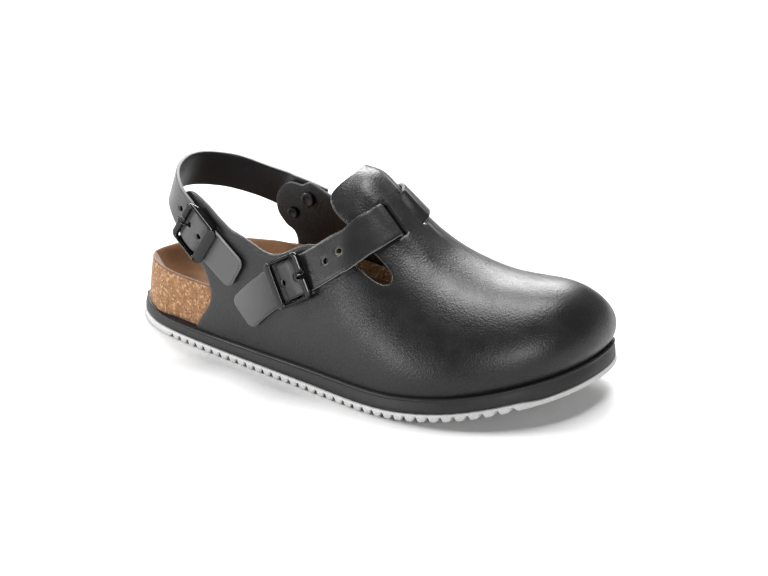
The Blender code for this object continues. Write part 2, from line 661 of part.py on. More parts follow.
def strap_sheet(length_back, length_on, folds, holes, place):
    """Strap round its buckle: rounded tail behind, plain end ahead, cross lines at the folds, punched holes."""
    half = STRAP_WIDTH / 2
    corner = half * 0.45
    angle = np.linspace(0, np.pi / 2, 5)
    tail = np.stack([-length_back + corner - corner * np.sin(angle), half - corner + corner * np.cos(angle)], 1)
    tail = np.vstack([tail, (tail * [1, -1])[::-1]])
    count = int((length_back + length_on) / STRAP_SPACING)
    lines = np.linspace(-length_back + corner, length_on, count)[1:]
    lines = lines[np.abs(lines[:, None] - folds).min(1) > 0.45 * STRAP_SPACING]
    lines = np.sort(np.r_[lines, folds[folds < length_on - 0.002], length_on])
    lines = np.unique(lines)
    low = np.stack([lines, np.full(len(lines), -half)], 1)
    high = low[::-1] * [1, -1]
    middle = np.array([[length_on, -half / 2], [length_on, 0.0], [length_on, half / 2]])
    pattern = np.vstack([tail, low, middle, high])
    grid = np.stack(np.meshgrid(lines, half * np.array([-0.5, 0.0, 0.5])), -1).reshape(-1, 2)
    loops = [circle(centre, radius, radius) for *centre, radius in holes]
    return sheet(pattern, loops, grid, 0.0007, place, STRAP, 0.0)


def buckle_lift(run):
    return table(BUCKLE_FOLD, run / BUCKLE_LENGTH, 1) * STRAP


def instep_place(points, level):
    """Strap points on the last: over the leather outside, under the bridge between the slots."""
    run = points[:, 0] + AT_BUCKLE
    below = -(WALL + UNDER_BRIDGE + STRAP)
    half = SLOT_WIDTH / 2
    sunk = smoothstep((run - AT_LATERAL_SLOT + half) / SLOT_WIDTH) \
        - smoothstep((run - AT_MEDIAL_SLOT + half) / SLOT_WIDTH)
    lift = FITTED + buckle_lift(points[:, 0]) + (below - FITTED) * sunk + level
    run = np.clip(run, 0.0, LINE_RUN[-1])
    return on_last(beside_line(run, points[:, 1]), lift)


def punched(shares):
    """Places and radius of the holes punched along a strap."""
    return [(share * HOLE_PITCH, 0.0, PIN_HOLE) for share in shares]


def build_instep_strap():
    """Strap with a line at every fold of the buckle and of both slots."""
    through = np.linspace(-0.5, 0.5, 6) * SLOT_WIDTH
    slots = np.r_[AT_LATERAL_SLOT + through, AT_MEDIAL_SLOT + through] - AT_BUCKLE
    folds = np.r_[BUCKLE_FOLD[:, 0] * BUCKLE_LENGTH, slots]
    made = strap_sheet(AT_BUCKLE, LINE_RUN[-1] - AT_BUCKLE, folds, punched(INSTEP_HOLES), instep_place)
    new_object("instep_strap", *made, (0.024, 0.024, 0.026), 0.38)


def heel_line():
    """Centre line of the heel strap, tail to medial end, with its outward normals."""
    lateral = np.array(HEEL_ON_LATERAL)[::-1]
    medial = np.array(HEEL_ON_MEDIAL)[::-1]
    free = np.array(HEEL_LINE)[::-1]
    space = free[:, :3] * [LENGTH, BALL_WIDTH, INSTEP_HEIGHT]
    centre = np.array([-0.27 * LENGTH, 0.03 * BALL_WIDTH])
    out = unit(space[:, :2] - centre)
    lean = np.concatenate([out, free[:, 3:]], 1)
    points = np.vstack([arch(*lateral.T), space, arch(*medial.T)])
    normals = unit(np.vstack([normal_at(*lateral.T), lean, normal_at(*medial.T)]))
    line, normal = spline(points, 8), unit(spline(normals, 8))
    run = arc(line)
    return line, normal, run, run[(len(lateral) - 1 - HEEL_BUCKLE) * 8]


HEEL, HEEL_NORMAL, HEEL_RUN, AT_HEEL_BUCKLE = heel_line()
HEEL_TANGENT = unit(np.gradient(HEEL, axis=0))


def heel_frame(run):
    """Point, direction, side direction and normal of the heel strap at a running length."""
    point = read(HEEL, HEEL_RUN, run)
    tangent = unit(read(HEEL_TANGENT, HEEL_RUN, run))
    normal = read(HEEL_NORMAL, HEEL_RUN, run)
    normal = unit(normal - tangent * (normal * tangent).sum(-1, keepdims=True))
    return point, tangent, np.cross(normal, tangent), normal


def heel_place(points, level):
    """Strap points on the heel line's own frames, a little wider at the medial joint."""
    run = points[:, 0] + AT_HEEL_BUCKLE
    point, _, across, normal = heel_frame(run)
    widening = 1.0 + JOINT_WIDENING * smoothstep((run - HEEL_RUN[-1] + 0.045) / 0.030)
    lift = ON_BRANCH + buckle_lift(points[:, 0]) + level
    return point + across * (points[:, 1] * widening)[:, None] + normal * np.asarray(lift)[:, None]


def build_heel_strap():
    medial_end = HEEL_RUN[-1] - AT_HEEL_BUCKLE
    holes = punched(HEEL_HOLES)
    holes += [(medial_end - back * LENGTH, across * LENGTH, RIVET_SHANK + FITTED) for back, across, _ in RIVET_SPOTS]
    folds = BUCKLE_FOLD[:, 0] * BUCKLE_LENGTH
    made = strap_sheet(AT_HEEL_BUCKLE, medial_end, folds, holes, heel_place)
    new_object("heel_strap", *made, (0.024, 0.024, 0.026), 0.42)


def rivet_frames():
    """Foot point on the leather, axis, head radius and pattern place of each rivet."""
    frames = []
    for back, across, head in RIVET_SPOTS:
        spot = np.array([[HEEL_RUN[-1] - back * LENGTH - AT_HEEL_BUCKLE, across * LENGTH]])
        rows = pattern_of(heel_place(spot, 0.0)[0])
        frames.append((arch(*rows), normal_at(rows[:1], rows[1:])[0], head, rows))
    return frames


def build_rivet(name, foot, axis, head):
    """Turned rivet: domed head outside, shank through strap and branch, flat head inside."""
    over = ON_BRANCH + STRAP + RIVET_PLAY
    under = -(WALL + RIVET_PLAY)
    profile = ((0.0, under - 0.0010), (head * 0.8, under - 0.0010), (head, under - 0.0004), (head, under),
               (RIVET_SHANK, under), (RIVET_SHANK, over), (head, over), (head * 0.85, over + 0.0007),
               (head * 0.4, over + 0.0011), (0.0, over + 0.0012))
    side = unit(np.cross(axis, [1.0, 0.0, 0.0]))
    other = np.cross(axis, side)
    angle = np.arange(12) * np.pi / 6
    spokes = np.cos(angle)[:, None] * side + np.sin(angle)[:, None] * other
    points = np.vstack([foot + spokes * radius + axis * height for radius, height in profile])
    faces = [(12 * k + i, 12 * k + (i + 1) % 12, 12 * k + 12 + (i + 1) % 12, 12 * k + 12 + i)
             for k in range(len(profile) - 1) for i in range(12)]
    new_object(name, points, faces, (0.05, 0.05, 0.05), 0.3, 0.8)


def rounded_rectangle(back, front, half, corner):
    """Loop of a rounded rectangle with the same count of points whatever its size."""
    angle = np.linspace(0, np.pi / 2, 4)
    arcs = []
    for cx, cy, start in ((front - corner, half - corner, 0), (back + corner, half - corner, 1),
                          (back + corner, -half + corner, 2), (front - corner, -half + corner, 3)):
        turned = angle + start * np.pi / 2
        arcs.append(np.stack([cx + corner * np.cos(turned), cy + corner * np.sin(turned)], 1))
    extra = np.array([[0.28, 1.0], [-0.28, 1.0]]) * [BUCKLE_LENGTH, half]
    return np.vstack([arcs[0], extra, arcs[1], arcs[2], extra[::-1] * [1, -1], arcs[3]])


def build_buckle(name, place):
    """Frame with two side rails, a front bar, a sloping tail plate and a centre bar."""
    half = BUCKLE_LENGTH / 2
    outer = rounded_rectangle(-half, half, BUCKLE_WIDTH / 2, 0.0035)
    inner = rounded_rectangle(-half + PLATE, half - BAR, BUCKLE_WIDTH / 2 - RAIL, 0.0012)
    bevel = 0.0006
    low_rail, low_bar = 0.0007, 0.0042
    along = np.abs(outer[:, 0])
    low = low_rail + (low_bar - low_rail) * smoothstep((along - 0.30 * BUCKLE_LENGTH) / (0.10 * BUCKLE_LENGTH))
    high = low_bar + BAR_THICK - 0.0014 * smoothstep((along - half + BAR) / BAR) * (outer[:, 0] < 0)
    toward = unit(inner - outer)

    def corner(plan, height):
        return np.concatenate([plan, height[:, None]], 1)
    loops = [corner(outer, low), corner(outer, high - bevel), corner(outer + toward * bevel, high),
             corner(inner - toward * bevel, low * 0 + low_bar + BAR_THICK),
             corner(inner, low * 0 + low_bar + BAR_THICK - bevel), corner(inner, low)]
    count = len(outer)
    points = place(np.vstack(loops))
    faces = [(k * count + i, k * count + (i + 1) % count, (k + 1) % 6 * count + (i + 1) % count,
              (k + 1) % 6 * count + i) for k in range(6) for i in range(count)]
    frame = new_object(name, points, faces, (0.02, 0.02, 0.02), 0.2, 0.6)
    reach = BUCKLE_WIDTH / 2 - RAIL / 2
    centre = [(0.0, -reach, CENTRE_BAR + GAP), (0.0, reach, CENTRE_BAR + GAP)]
    rod = build_tube(name + "_bar", np.array(centre), [CENTRE_BAR] * 2, place, 10)
    joining = frame.modifiers.new("bar", 'BOOLEAN')
    joining.operation = 'UNION'
    joining.solver = 'EXACT'
    joining.object = rod
    bpy.context.view_layer.update()
    joined = bpy.data.meshes.new_from_object(frame.evaluated_get(bpy.context.evaluated_depsgraph_get()))
    frame.modifiers.clear()
    frame.data = joined
    frame.data.name = name
    while len(frame.data.materials) > 1:
        frame.data.materials.pop()
    bpy.data.objects.remove(rod)


def build_tube(name, line, radii, place, count):
    """Round bar along a line in a buckle's own axes."""
    tangent = unit(np.gradient(line, axis=0))
    first = unit(np.cross(tangent, [[0.3, 0.5, 1.0]] if abs(tangent[0, 1]) > 0.5 else [[0.0, 1.0, 0.0]]))
    second = np.cross(tangent, first)
    angle = np.arange(count) * 2 * np.pi / count
    circles = [point + (np.cos(angle)[:, None] * a + np.sin(angle)[:, None] * b) * radius
               for point, a, b, radius in zip(line, first, second, radii)]
    points = place(np.vstack(circles))
    faces = [(k * count + i, k * count + (i + 1) % count, (k + 1) * count + (i + 1) % count,
              (k + 1) * count + i) for k in range(len(line) - 1) for i in range(count)]
    faces += [tuple(range(count))[::-1], tuple(range((len(line) - 1) * count, len(line) * count))]
    return new_object(name, points, faces, (0.02, 0.02, 0.02), 0.2, 0.6)


def build_prong(name, place):
    rows = np.array(PRONG_LINE)
    line = np.stack([rows[:, 0] * BUCKLE_LENGTH, rows[:, 0] * 0, rows[:, 1] * BAR_THICK], 1)
    radii = np.full(len(line), PRONG)
    radii[-2:] = PRONG * np.array([0.85, 0.55])
    build_tube(name, line, radii, place, 6)


def frame_place(origin, tangent, across, normal):
    def place(points):
        return origin + points[:, :1] * tangent + points[:, 1:2] * across + points[:, 2:] * normal
    return place


def instep_frame():
    row = read(LINE, LINE_RUN, np.array([AT_BUCKLE]))
    ahead = read(LINE, LINE_RUN, np.array([AT_BUCKLE + 0.004]))
    behind = read(LINE, LINE_RUN, np.array([AT_BUCKLE - 0.004]))
    normal = normal_at(*row.T)[0]
    tangent = (arch(*ahead.T) - arch(*behind.T))[0]
    tangent = unit(tangent - normal * (tangent @ normal))
    return arch(*row.T)[0], tangent, np.cross(normal, tangent), normal


for old in list(bpy.data.objects):
    bpy.data.objects.remove(old)

build_outsole()
build_midsole()
build_lining(build_footbed())
RIVETS = rivet_frames()
build_upper([rows for *_, rows in RIVETS])
build_instep_strap()
build_heel_strap()
INSTEP_PLACE = frame_place(*instep_frame())
HEEL_FRAME = heel_frame(np.array([AT_HEEL_BUCKLE]))
HEEL_PLACE = frame_place(*(vector[0] for vector in HEEL_FRAME))
build_buckle("instep_buckle", INSTEP_PLACE)
build_prong("instep_prong", INSTEP_PLACE)
build_buckle("heel_buckle", HEEL_PLACE)
build_prong("heel_prong", HEEL_PLACE)
for rivet_name, (foot_point, rivet_axis, head_radius, _) in zip(("rivet_high", "rivet_low"), RIVETS):
    build_rivet(rivet_name, foot_point, rivet_axis, head_radius)
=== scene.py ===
# %% [markdown]
# # A closed-toe work clog for the right foot
#
# This lesson dresses the clog: a ribbed pale outsole, a dark foam band, a cork footbed
# with a suede lining, a black leather upper on the shape of a last, two straps with
# gloss black buckles, and two rivets. Every piece is a surface worked out with numpy.
# The toe points along +X, the inner (medial) side is +Y, and Z = 0 is the floor.

# %% Load the frame
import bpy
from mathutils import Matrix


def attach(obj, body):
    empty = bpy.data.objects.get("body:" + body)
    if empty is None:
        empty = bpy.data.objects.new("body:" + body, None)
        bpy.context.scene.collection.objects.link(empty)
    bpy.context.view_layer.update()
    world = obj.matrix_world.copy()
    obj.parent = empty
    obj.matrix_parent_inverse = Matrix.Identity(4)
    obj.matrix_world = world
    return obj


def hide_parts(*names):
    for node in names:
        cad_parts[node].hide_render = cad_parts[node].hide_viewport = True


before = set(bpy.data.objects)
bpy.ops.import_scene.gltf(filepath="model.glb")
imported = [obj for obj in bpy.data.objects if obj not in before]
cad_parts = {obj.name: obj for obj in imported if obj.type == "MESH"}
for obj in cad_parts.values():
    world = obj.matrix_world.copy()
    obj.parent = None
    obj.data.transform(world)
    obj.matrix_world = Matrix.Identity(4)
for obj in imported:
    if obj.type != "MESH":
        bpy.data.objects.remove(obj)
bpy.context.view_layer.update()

import bmesh
import bpy
import numpy as np
from mathutils import Vector
from mathutils.geometry import delaunay_2d_cdt

# %% [markdown]
# ## The sole's outline
#
# A shoe is drawn from its sole. The outline is a closed curve through 26 points that are
# shares of the length and the ball width, and it is read as two sides, heel to toe. A
# share along a side is a share of its arc length, so heel and toe get points enough.

# %% Sizes and outline of the sole
LENGTH, BALL_WIDTH, TOE_SPRING, TOE_THINNING = 0.280, 0.112, 0.016, 0.0015
RIB_DEPTH, OUTSOLE_PLATE, GAP = 0.0026, 0.0016, 0.0003
MIDSOLE, MIDSOLE_HEEL = 0.0080, 0.0054
OUTSOLE = OUTSOLE_PLATE + RIB_DEPTH
RIBS_FROM, RIBS_TO = 0.140, 0.905
OUTLINE = (
    (0.000, 0.050), (0.010, -0.010), (0.045, -0.120), (0.105, -0.222), (0.210, -0.305),
    (0.350, -0.388), (0.490, -0.466), (0.625, -0.541), (0.715, -0.562), (0.805, -0.518),
    (0.885, -0.400), (0.950, -0.235), (0.987, -0.055), (1.000, 0.130), (0.993, 0.300),
    (0.965, 0.400), (0.890, 0.458), (0.780, 0.460), (0.670, 0.445), (0.560, 0.405),
    (0.450, 0.350), (0.330, 0.318), (0.200, 0.332), (0.105, 0.320), (0.045, 0.250),
    (0.010, 0.150),
)


def smoothstep(value):
    """0 below 0, 1 above 1, and 3v^2 - 2v^3 between."""
    value = np.clip(value, 0.0, 1.0)
    return value * value * (3.0 - 2.0 * value)


def unit(vectors):
    """Vectors divided by their length."""
    return vectors / np.maximum(np.linalg.norm(vectors, axis=-1, keepdims=True), 1e-12)


def spline(nodes, steps, closed=False):
    """Catmull-Rom curve: each span is a cubic whose end slopes are half the chord past them."""
    nodes = np.asarray(nodes, float)
    if not closed:
        nodes = np.vstack([2 * nodes[:1] - nodes[1:2], nodes, 2 * nodes[-1:] - nodes[-2:-1]])
    before, here, after, beyond = (np.roll(nodes, k, 0)[:, None, :] for k in (1, 0, -1, -2))
    t = np.linspace(0.0, 1.0, steps, endpoint=False)[None, :, None]
    curve = 0.5 * (2 * here + (after - before) * t
                   + (2 * before - 5 * here + 4 * after - beyond) * t ** 2
                   + (3 * here - before - 3 * after + beyond) * t ** 3)
    if closed:
        return curve.reshape(-1, nodes.shape[1])
    return np.vstack([curve[1:-2].reshape(-1, nodes.shape[1]), nodes[-2:-1]])


def arc(points):
    """Running length along a line of points."""
    return np.r_[0.0, np.cumsum(np.linalg.norm(np.diff(points, axis=0), axis=1))]


def read(points, at, where):
    """Linear reading of a line of points whose running positions are known."""
    return np.stack([np.interp(where, at, points[:, k]) for k in range(points.shape[1])], -1)


def table(rows, station, column):
    """Monotone cubic reading of a table's column, so that no value overshoots its rows."""
    x, y = rows[:, 0], rows[:, column]
    width = np.diff(x)
    slope = np.diff(y) / width
    tangent = np.concatenate([slope[:1], np.zeros(len(x) - 2), slope[-1:]])
    product, total = slope[:-1] * slope[1:], slope[:-1] + slope[1:]
    tangent[1:-1] = np.where(product > 0, 2 * product / np.where(product > 0, total, 1.0), 0.0)
    station = np.clip(station, x[0], x[-1])
    k = np.clip(np.searchsorted(x, station) - 1, 0, len(width) - 1)
    t = (station - x[k]) / width[k]
    return ((1 + 2 * t) * (1 - t) ** 2 * y[k] + t * (1 - t) ** 2 * width[k] * tangent[k]
            + t * t * (3 - 2 * t) * y[k + 1] + t * t * (t - 1) * width[k] * tangent[k + 1])


def outline_sides():
    """Points, outward normals and running length of the lateral (-1) and medial (1) side."""
    loop = spline(OUTLINE, 16, closed=True)
    low, high = loop.min(0), loop.max(0)
    loop = (loop - (low + high) / 2) / (high - low) * [LENGTH, BALL_WIDTH]
    tangent = unit(np.roll(loop, -1, 0) - np.roll(loop, 1, 0))
    normal = np.stack([tangent[:, 1], -tangent[:, 0]], 1)
    heel = loop[:, 0].argmin()
    loop, normal = np.roll(loop, -heel, 0), np.roll(normal, -heel, 0)
    toe = loop[:, 0].argmax()
    lateral = (loop[:toe + 1], normal[:toe + 1])
    medial = (np.vstack([loop[toe:], loop[:1]])[::-1], np.vstack([normal[toe:], normal[:1]])[::-1])
    return {side: (line, normals, arc(line)) for side, (line, normals) in ((-1, lateral), (1, medial))}


SIDES = outline_sides()
SIDE_LENGTH = (SIDES[-1][2][-1] + SIDES[1][2][-1]) / 2
print(f"one side of the sole runs {1000 * SIDE_LENGTH:.1f} mm from heel to toe")


# %% Heights of the sole
# Shares of LENGTH ahead of the middle: where the toe spring starts and how far it runs
SPRING_FROM, SPRING_SPAN, SPRING_POWER = 0.10, 0.40, 1.9


def edge(share, side, inset):
    """Outline point at an arc share of one side, moved inwards by the inset."""
    points, normals, run = SIDES[side]
    return read(points - normals * np.asarray(inset), run, np.asarray(share) * run[-1])


def edge_normal(share, side):
    """Outward normal of the outline in plan."""
    points, normals, run = SIDES[side]
    return unit(read(normals, run, np.asarray(share) * run[-1]))


def toe_rise(x):
    """Toe spring: the sole's lift grows as a power of the distance ahead of the ball."""
    return TOE_SPRING * np.clip((x / LENGTH - SPRING_FROM) / SPRING_SPAN, 0.0, 1.0) ** SPRING_POWER


def rubber(x):
    """Thickness of the outsole, thinner in front of the ribs."""
    return OUTSOLE - TOE_THINNING * smoothstep((x / LENGTH + 0.5 - RIBS_TO) / 0.04)


def deck(x):
    """Height of the foam's upper face over a foam that is thinner at the heel."""
    foam = MIDSOLE_HEEL + (MIDSOLE - MIDSOLE_HEEL) * smoothstep((x / LENGTH + 0.40) / 0.50)
    return OUTSOLE + GAP + foam + toe_rise(x)


# %% [markdown]
# ## The last
#
# Leather takes the shape of the last it is pulled over, so the last is one surface here:
# a row of superellipse arches. Each arch has its feet on the feather line, a ridge whose
# height and fullness come from a table of stations, and it closes over the toe. A point
# of it is named by its share along the side and its turn: 0 is the lateral foot, 1 the
# ridge, 2 the medial foot. A flat pattern is laid on it by those two numbers.

# %% Surface of the last
INSTEP_HEIGHT, FEATHER, WALL = 0.106, 0.0034, 0.0022
SIDE_BULGE, TOE_BULGE, BULGE_REACH = 0.0015, 0.0013, 0.90
TOE_START, TOE_ROUNDNESS = 0.875, 3.0
# Station share of LENGTH, ridge height share of INSTEP_HEIGHT, fullness, ridge shift to medial
LAST = np.array((
    (0.00, 1.450, 3.00, 0.00),
    (0.30, 1.400, 3.00, 0.00),
    (0.40, 1.180, 2.70, 0.05),
    (0.46, 1.070, 2.40, 0.08),
    (0.50, 1.045, 2.25, 0.10),
    (0.54, 1.030, 2.15, 0.12),
    (0.58, 0.955, 2.10, 0.12),
    (0.66, 0.775, 2.15, 0.13),
    (0.74, 0.660, 2.20, 0.12),
    (0.82, 0.602, 2.30, 0.08),
    (0.90, 0.586, 2.45, 0.04),
    (1.00, 0.576, 2.50, 0.00),
))


def section(share, side):
    """Foot and ridge in plan, their heights, the toe's closing crown and the arch's fullness."""
    lateral, medial = edge(share, -1, FEATHER), edge(share, 1, FEATHER)
    foot = lateral if side < 0 else medial
    middle = (lateral + medial) / 2
    station = middle[..., 0] / LENGTH + 0.5
    ridge = middle + (medial - middle) * table(LAST, station, 3)[..., None]
    low = deck(foot[..., 0]) + GAP
    tip = edge(1.0, -1, FEATHER)[0] / LENGTH + 0.5
    closing = np.clip((station - TOE_START) / (tip - TOE_START), 0.0, 1.0)
    crown = (1 - closing ** TOE_ROUNDNESS) ** (1 / TOE_ROUNDNESS)
    high = low + (table(LAST, station, 1) * INSTEP_HEIGHT - low) * crown
    return foot, ridge, low, high, crown, table(LAST, station, 2)


def bulge(climb, x):
    """How far the leather swells past the feather line: u(1 - u)^2 of the climb, scaled to 1 at a third."""
    toe = smoothstep((x / LENGTH - 0.25) / 0.2)
    up = np.clip(climb / BULGE_REACH, 0.0, 1.0)
    return (SIDE_BULGE + TOE_BULGE * toe) * 6.75 * up * (1.0 - up) ** 2


def half_arch(share, height, side):
    """Arch in polar form: radius = (cos^n + sin^n)^(-1/n) with n the fullness."""
    foot, ridge, low, high, crown, fullness = section(share, side)
    cosine = np.cos(height * np.pi / 2).clip(0.0, 1.0)
    sine = np.sin(height * np.pi / 2).clip(0.0, 1.0)
    radius = (cosine ** fullness + sine ** fullness) ** (-1 / fullness)
    rise = sine * radius
    plan = ridge + (foot - ridge) * (cosine * radius)[..., None]
    front = (sine * smoothstep((share - 0.85) / 0.10))[..., None]
    outward = unit(edge_normal(share, side) * (1 - front) + edge_normal(1.0, side) * front)
    plan = plan + outward * bulge(rise * crown, plan[..., 0])[..., None]
    return np.concatenate([plan, (low + (high - low) * rise)[..., None]], -1)


def arch(share, turn):
    """Point of the last at a share of the side and a turn over the arch."""
    share, turn = np.broadcast_arrays(np.clip(share, 0.0, 1.0), np.clip(turn, 0.0, 2.0))
    lateral = half_arch(share, np.minimum(turn, 1.0), -1)
    medial = half_arch(share, np.minimum(2.0 - turn, 1.0), 1)
    return np.where((turn <= 1.0)[..., None], lateral, medial)


def slopes(share, turn):
    """Steps of the surface along the share and along the turn, by central differences."""
    step = 0.004
    share = np.clip(share, step, 0.985)
    turn = np.clip(turn, step, 2.0 - step)
    along = (arch(share + step, turn) - arch(share - step, turn)) / (2 * step)
    over = (arch(share, turn + step) - arch(share, turn - step)) / (2 * step)
    return along, over


def normal_at(share, turn):
    """Outward normal: the cross product of both slopes, turned to the toe's direction at the tip."""
    along, over = slopes(share, turn)
    tip = np.append(edge_normal(1.0, -1), 0.0)
    blend = smoothstep((share - 0.975) / 0.025)[..., None]
    return unit(unit(np.cross(along, over)) * (1 - blend) + tip * blend)


instep = arch(np.array([0.5]), np.array([1.0]))[0]
print(f"ridge at half of the side: {1000 * instep[2]:.1f} mm above the floor")

# %% [markdown]
# ## Lines of the straps on the last
#
# The instep strap is a ribbon along a line on the last, from its rounded tail on the
# lateral side, round the buckle, in through a slot and out through another near the
# ridge. The heel strap runs in the air between the two leather branches.

# %% Strap lines
STRAP_WIDTH, STRAP, FITTED, SLOT_WIDTH = 0.0200, 0.0022, 0.0005, 0.0068
PATTERN_GIRTH = 0.115
STRAP_LINE = (
    (0.323, 0.090), (0.372, 0.182), (0.424, 0.281), (0.460, 0.348), (0.494, 0.425), (0.524, 0.515),
    (0.549, 0.650), (0.567, 0.793), (0.576, 0.910), (0.578, 1.020), (0.571, 1.150), (0.553, 1.320),
    (0.522, 1.500), (0.470, 1.650), (0.425, 1.745), (0.390, 1.815),
)
LINE_STEPS, STRAP_AT = 12, (2, 7, 9)


def flat(rows):
    """Pattern points in metres of rows of share and turn."""
    rows = np.asarray(rows, float)
    return np.stack([rows[..., 0] * SIDE_LENGTH, (rows[..., 1] - 1.0) * PATTERN_GIRTH], -1)


def across_steps(rows):
    """Share and turn steps that move one metre across a line: the least-squares solve of both slopes."""
    along, over = slopes(rows[:, 0], rows[:, 1])
    tangent = unit(np.gradient(arch(rows[:, 0], rows[:, 1]), axis=0))
    across = np.cross(normal_at(rows[:, 0], rows[:, 1]), tangent)
    aa, oo, ao = (along * along).sum(-1), (over * over).sum(-1), (along * over).sum(-1)
    ca, co = (across * along).sum(-1), (across * over).sum(-1)
    det = aa * oo - ao * ao
    return np.stack([(oo * ca - ao * co) / det, (aa * co - ao * ca) / det], -1)


LINE = spline(STRAP_LINE, LINE_STEPS)
LINE_RUN = arc(arch(LINE[:, 0], LINE[:, 1]))
LINE_ACROSS = across_steps(LINE)
AT_BUCKLE, AT_LATERAL_SLOT, AT_MEDIAL_SLOT = (LINE_RUN[k * LINE_STEPS] for k in STRAP_AT)


def beside_line(run, offset):
    """Pattern point at a running length of the strap's line and an offset across it."""
    rows = read(LINE, LINE_RUN, run) + read(LINE_ACROSS, LINE_RUN, run) * np.asarray(offset)[..., None]
    return flat(rows)


BRIDGE_RAISE = 0.0016
# Reach and fade of the raised strip: along the shoe in strap widths, over the ridge in metres
BRIDGE_LONG, BRIDGE_LONG_FADE, BRIDGE_OVER, BRIDGE_OVER_FADE = 1.45, 0.95, 0.011, 0.013


def bridge_lift(pattern):
    """The strip between the slots stands a little proud over the strap beneath it."""
    lateral, medial = beside_line(AT_LATERAL_SLOT, 0.0), beside_line(AT_MEDIAL_SLOT, 0.0)
    middle, half = (lateral + medial) / 2, (medial[1] - lateral[1]) / 2
    away = np.abs(pattern - middle)
    along = smoothstep((STRAP_WIDTH * BRIDGE_LONG - away[..., 0]) / (STRAP_WIDTH * BRIDGE_LONG_FADE))
    over = smoothstep((half + BRIDGE_OVER - away[..., 1]) / BRIDGE_OVER_FADE)
    return BRIDGE_RAISE * along * over


print(f"instep strap: {1000 * LINE_RUN[-1]:.0f} mm long,",
      f"slots {1000 * (AT_MEDIAL_SLOT - AT_LATERAL_SLOT):.0f} mm apart")

# %% [markdown]
# ## Materials
#
# Each material is procedural and reads the object's own coordinates, in metres. A small
# helper adds a node and links or sets its inputs. Constants stay on the shader's sockets.


# %% Helpers for materials
def add(tree, kind, inputs=None, **settings):
    """One node with its settings, its inputs set to values or linked to sockets."""
    made = tree.nodes.new(kind)
    for key, value in settings.items():
        setattr(made, key, value)
    for key, value in (inputs or {}).items():
        if isinstance(value, bpy.types.NodeSocket):
            tree.links.new(value, made.inputs[key])
        else:
            made.inputs[key].default_value = value
    return made


def start_material(name, **constants):
    """A principled material with constant sockets, its tree, its shader and its coordinates."""
    made = bpy.data.materials.new(name)
    made.use_nodes = True
    tree = made.node_tree
    shader = tree.nodes["Principled BSDF"]
    for key, value in constants.items():
        shader.inputs[key.replace("_", " ")].default_value = value
    where = add(tree, "ShaderNodeTexCoord").outputs["Object"]
    return made, tree, shader, where


def noise(tree, where, size, detail=3.0, roughness=0.55):
    """Noise whose features are about the given size in metres."""
    return add(tree, "ShaderNodeTexNoise", {"Vector": where, "Scale": 1.0 / size, "Detail": detail,
                                            "Roughness": roughness}).outputs["Fac"]


def cells(tree, where, size, feature='F1', output="Distance"):
    """Voronoi cells of about the given size in metres."""
    made = add(tree, "ShaderNodeTexVoronoi", {"Vector": where, "Scale": 1.0 / size}, feature=feature)
    return made.outputs[output]


def span(tree, value, low, high, start=0.0, end=1.0):
    """Value mapped from start..end to low..high."""
    return add(tree, "ShaderNodeMapRange", {"Value": value, "From Min": start, "From Max": end,
                                            "To Min": low, "To Max": high}).outputs["Result"]


def mix_colour(tree, share, first, second):
    """Colour mix whose sockets are found by position, since the node repeats their names."""
    made = tree.nodes.new("ShaderNodeMix")
    made.data_type = 'RGBA'
    for socket, value in ((made.inputs[0], share), (made.inputs[6], first), (made.inputs[7], second)):
        if isinstance(value, bpy.types.NodeSocket):
            tree.links.new(value, socket)
        else:
            socket.default_value = value if isinstance(value, float) else (*value, 1.0)
    return made.outputs[2]


def finish(tree, shader, tone, rough, layers):
    """Colour, roughness and bumps one over another, each a height, a strength and a depth in metres."""
    tree.links.new(tone, shader.inputs["Base Color"])
    tree.links.new(rough, shader.inputs["Roughness"])
    normal = None
    for height, strength, depth in layers:
        inputs = {"Height": height, "Strength": strength, "Distance": depth}
        if normal is not None:
            inputs["Normal"] = normal
        normal = add(tree, "ShaderNodeBump", inputs).outputs["Normal"]
    tree.links.new(normal, shader.inputs["Normal"])


# %% Leather
def leather(name, dark, light, gloss, grain, fine, cut_edge_and_highlight, painted_highlight_colour):
    """Satin leather: a cloudy tone, a painted highlight that pales it where light falls on it, pebbled grain,
    and a dull pale cut edge that is partly a painted highlight line.
    """
    made, tree, shader, where = start_material(name, IOR=1.38, Coat_Weight=0.05, Coat_Roughness=0.28,
                                               Sheen_Weight=0.03, Sheen_Roughness=0.5)
    # Painted highlight: where this attribute is 1 the leather takes the paler painted highlight colour.
    painted_highlight = add(tree, "ShaderNodeAttribute", attribute_name="painted_highlight").outputs["Fac"]
    cloud = noise(tree, where, 0.030)
    inner = add(tree, "ShaderNodeAttribute", attribute_name="inside").outputs["Fac"]
    tone = mix_colour(tree, painted_highlight, mix_colour(tree, cloud, dark, light), painted_highlight_colour)
    # The cut edge's pale colour is partly a raw edge and partly a painted highlight line along the edges.
    tone = mix_colour(tree, inner, cut_edge_and_highlight, tone)
    patches = noise(tree, where, 0.009, 4.0)
    satin = span(tree, patches, gloss - 0.05, gloss + 0.06, 0.3, 0.7)
    rough = add(tree, "ShaderNodeMix", {"Factor": inner, "A": 0.62, "B": satin}).outputs["Result"]
    pebble = cells(tree, where, grain, 'SMOOTH_F1')
    crease = noise(tree, where, grain * 0.45, 4.0, 0.65)
    soft = noise(tree, where, 0.012, 2.0)
    layers = [(soft, 0.25, 0.0003), (pebble, fine, 0.00016), (crease, fine, 0.00010)]
    finish(tree, shader, tone, rough, layers)
    return made


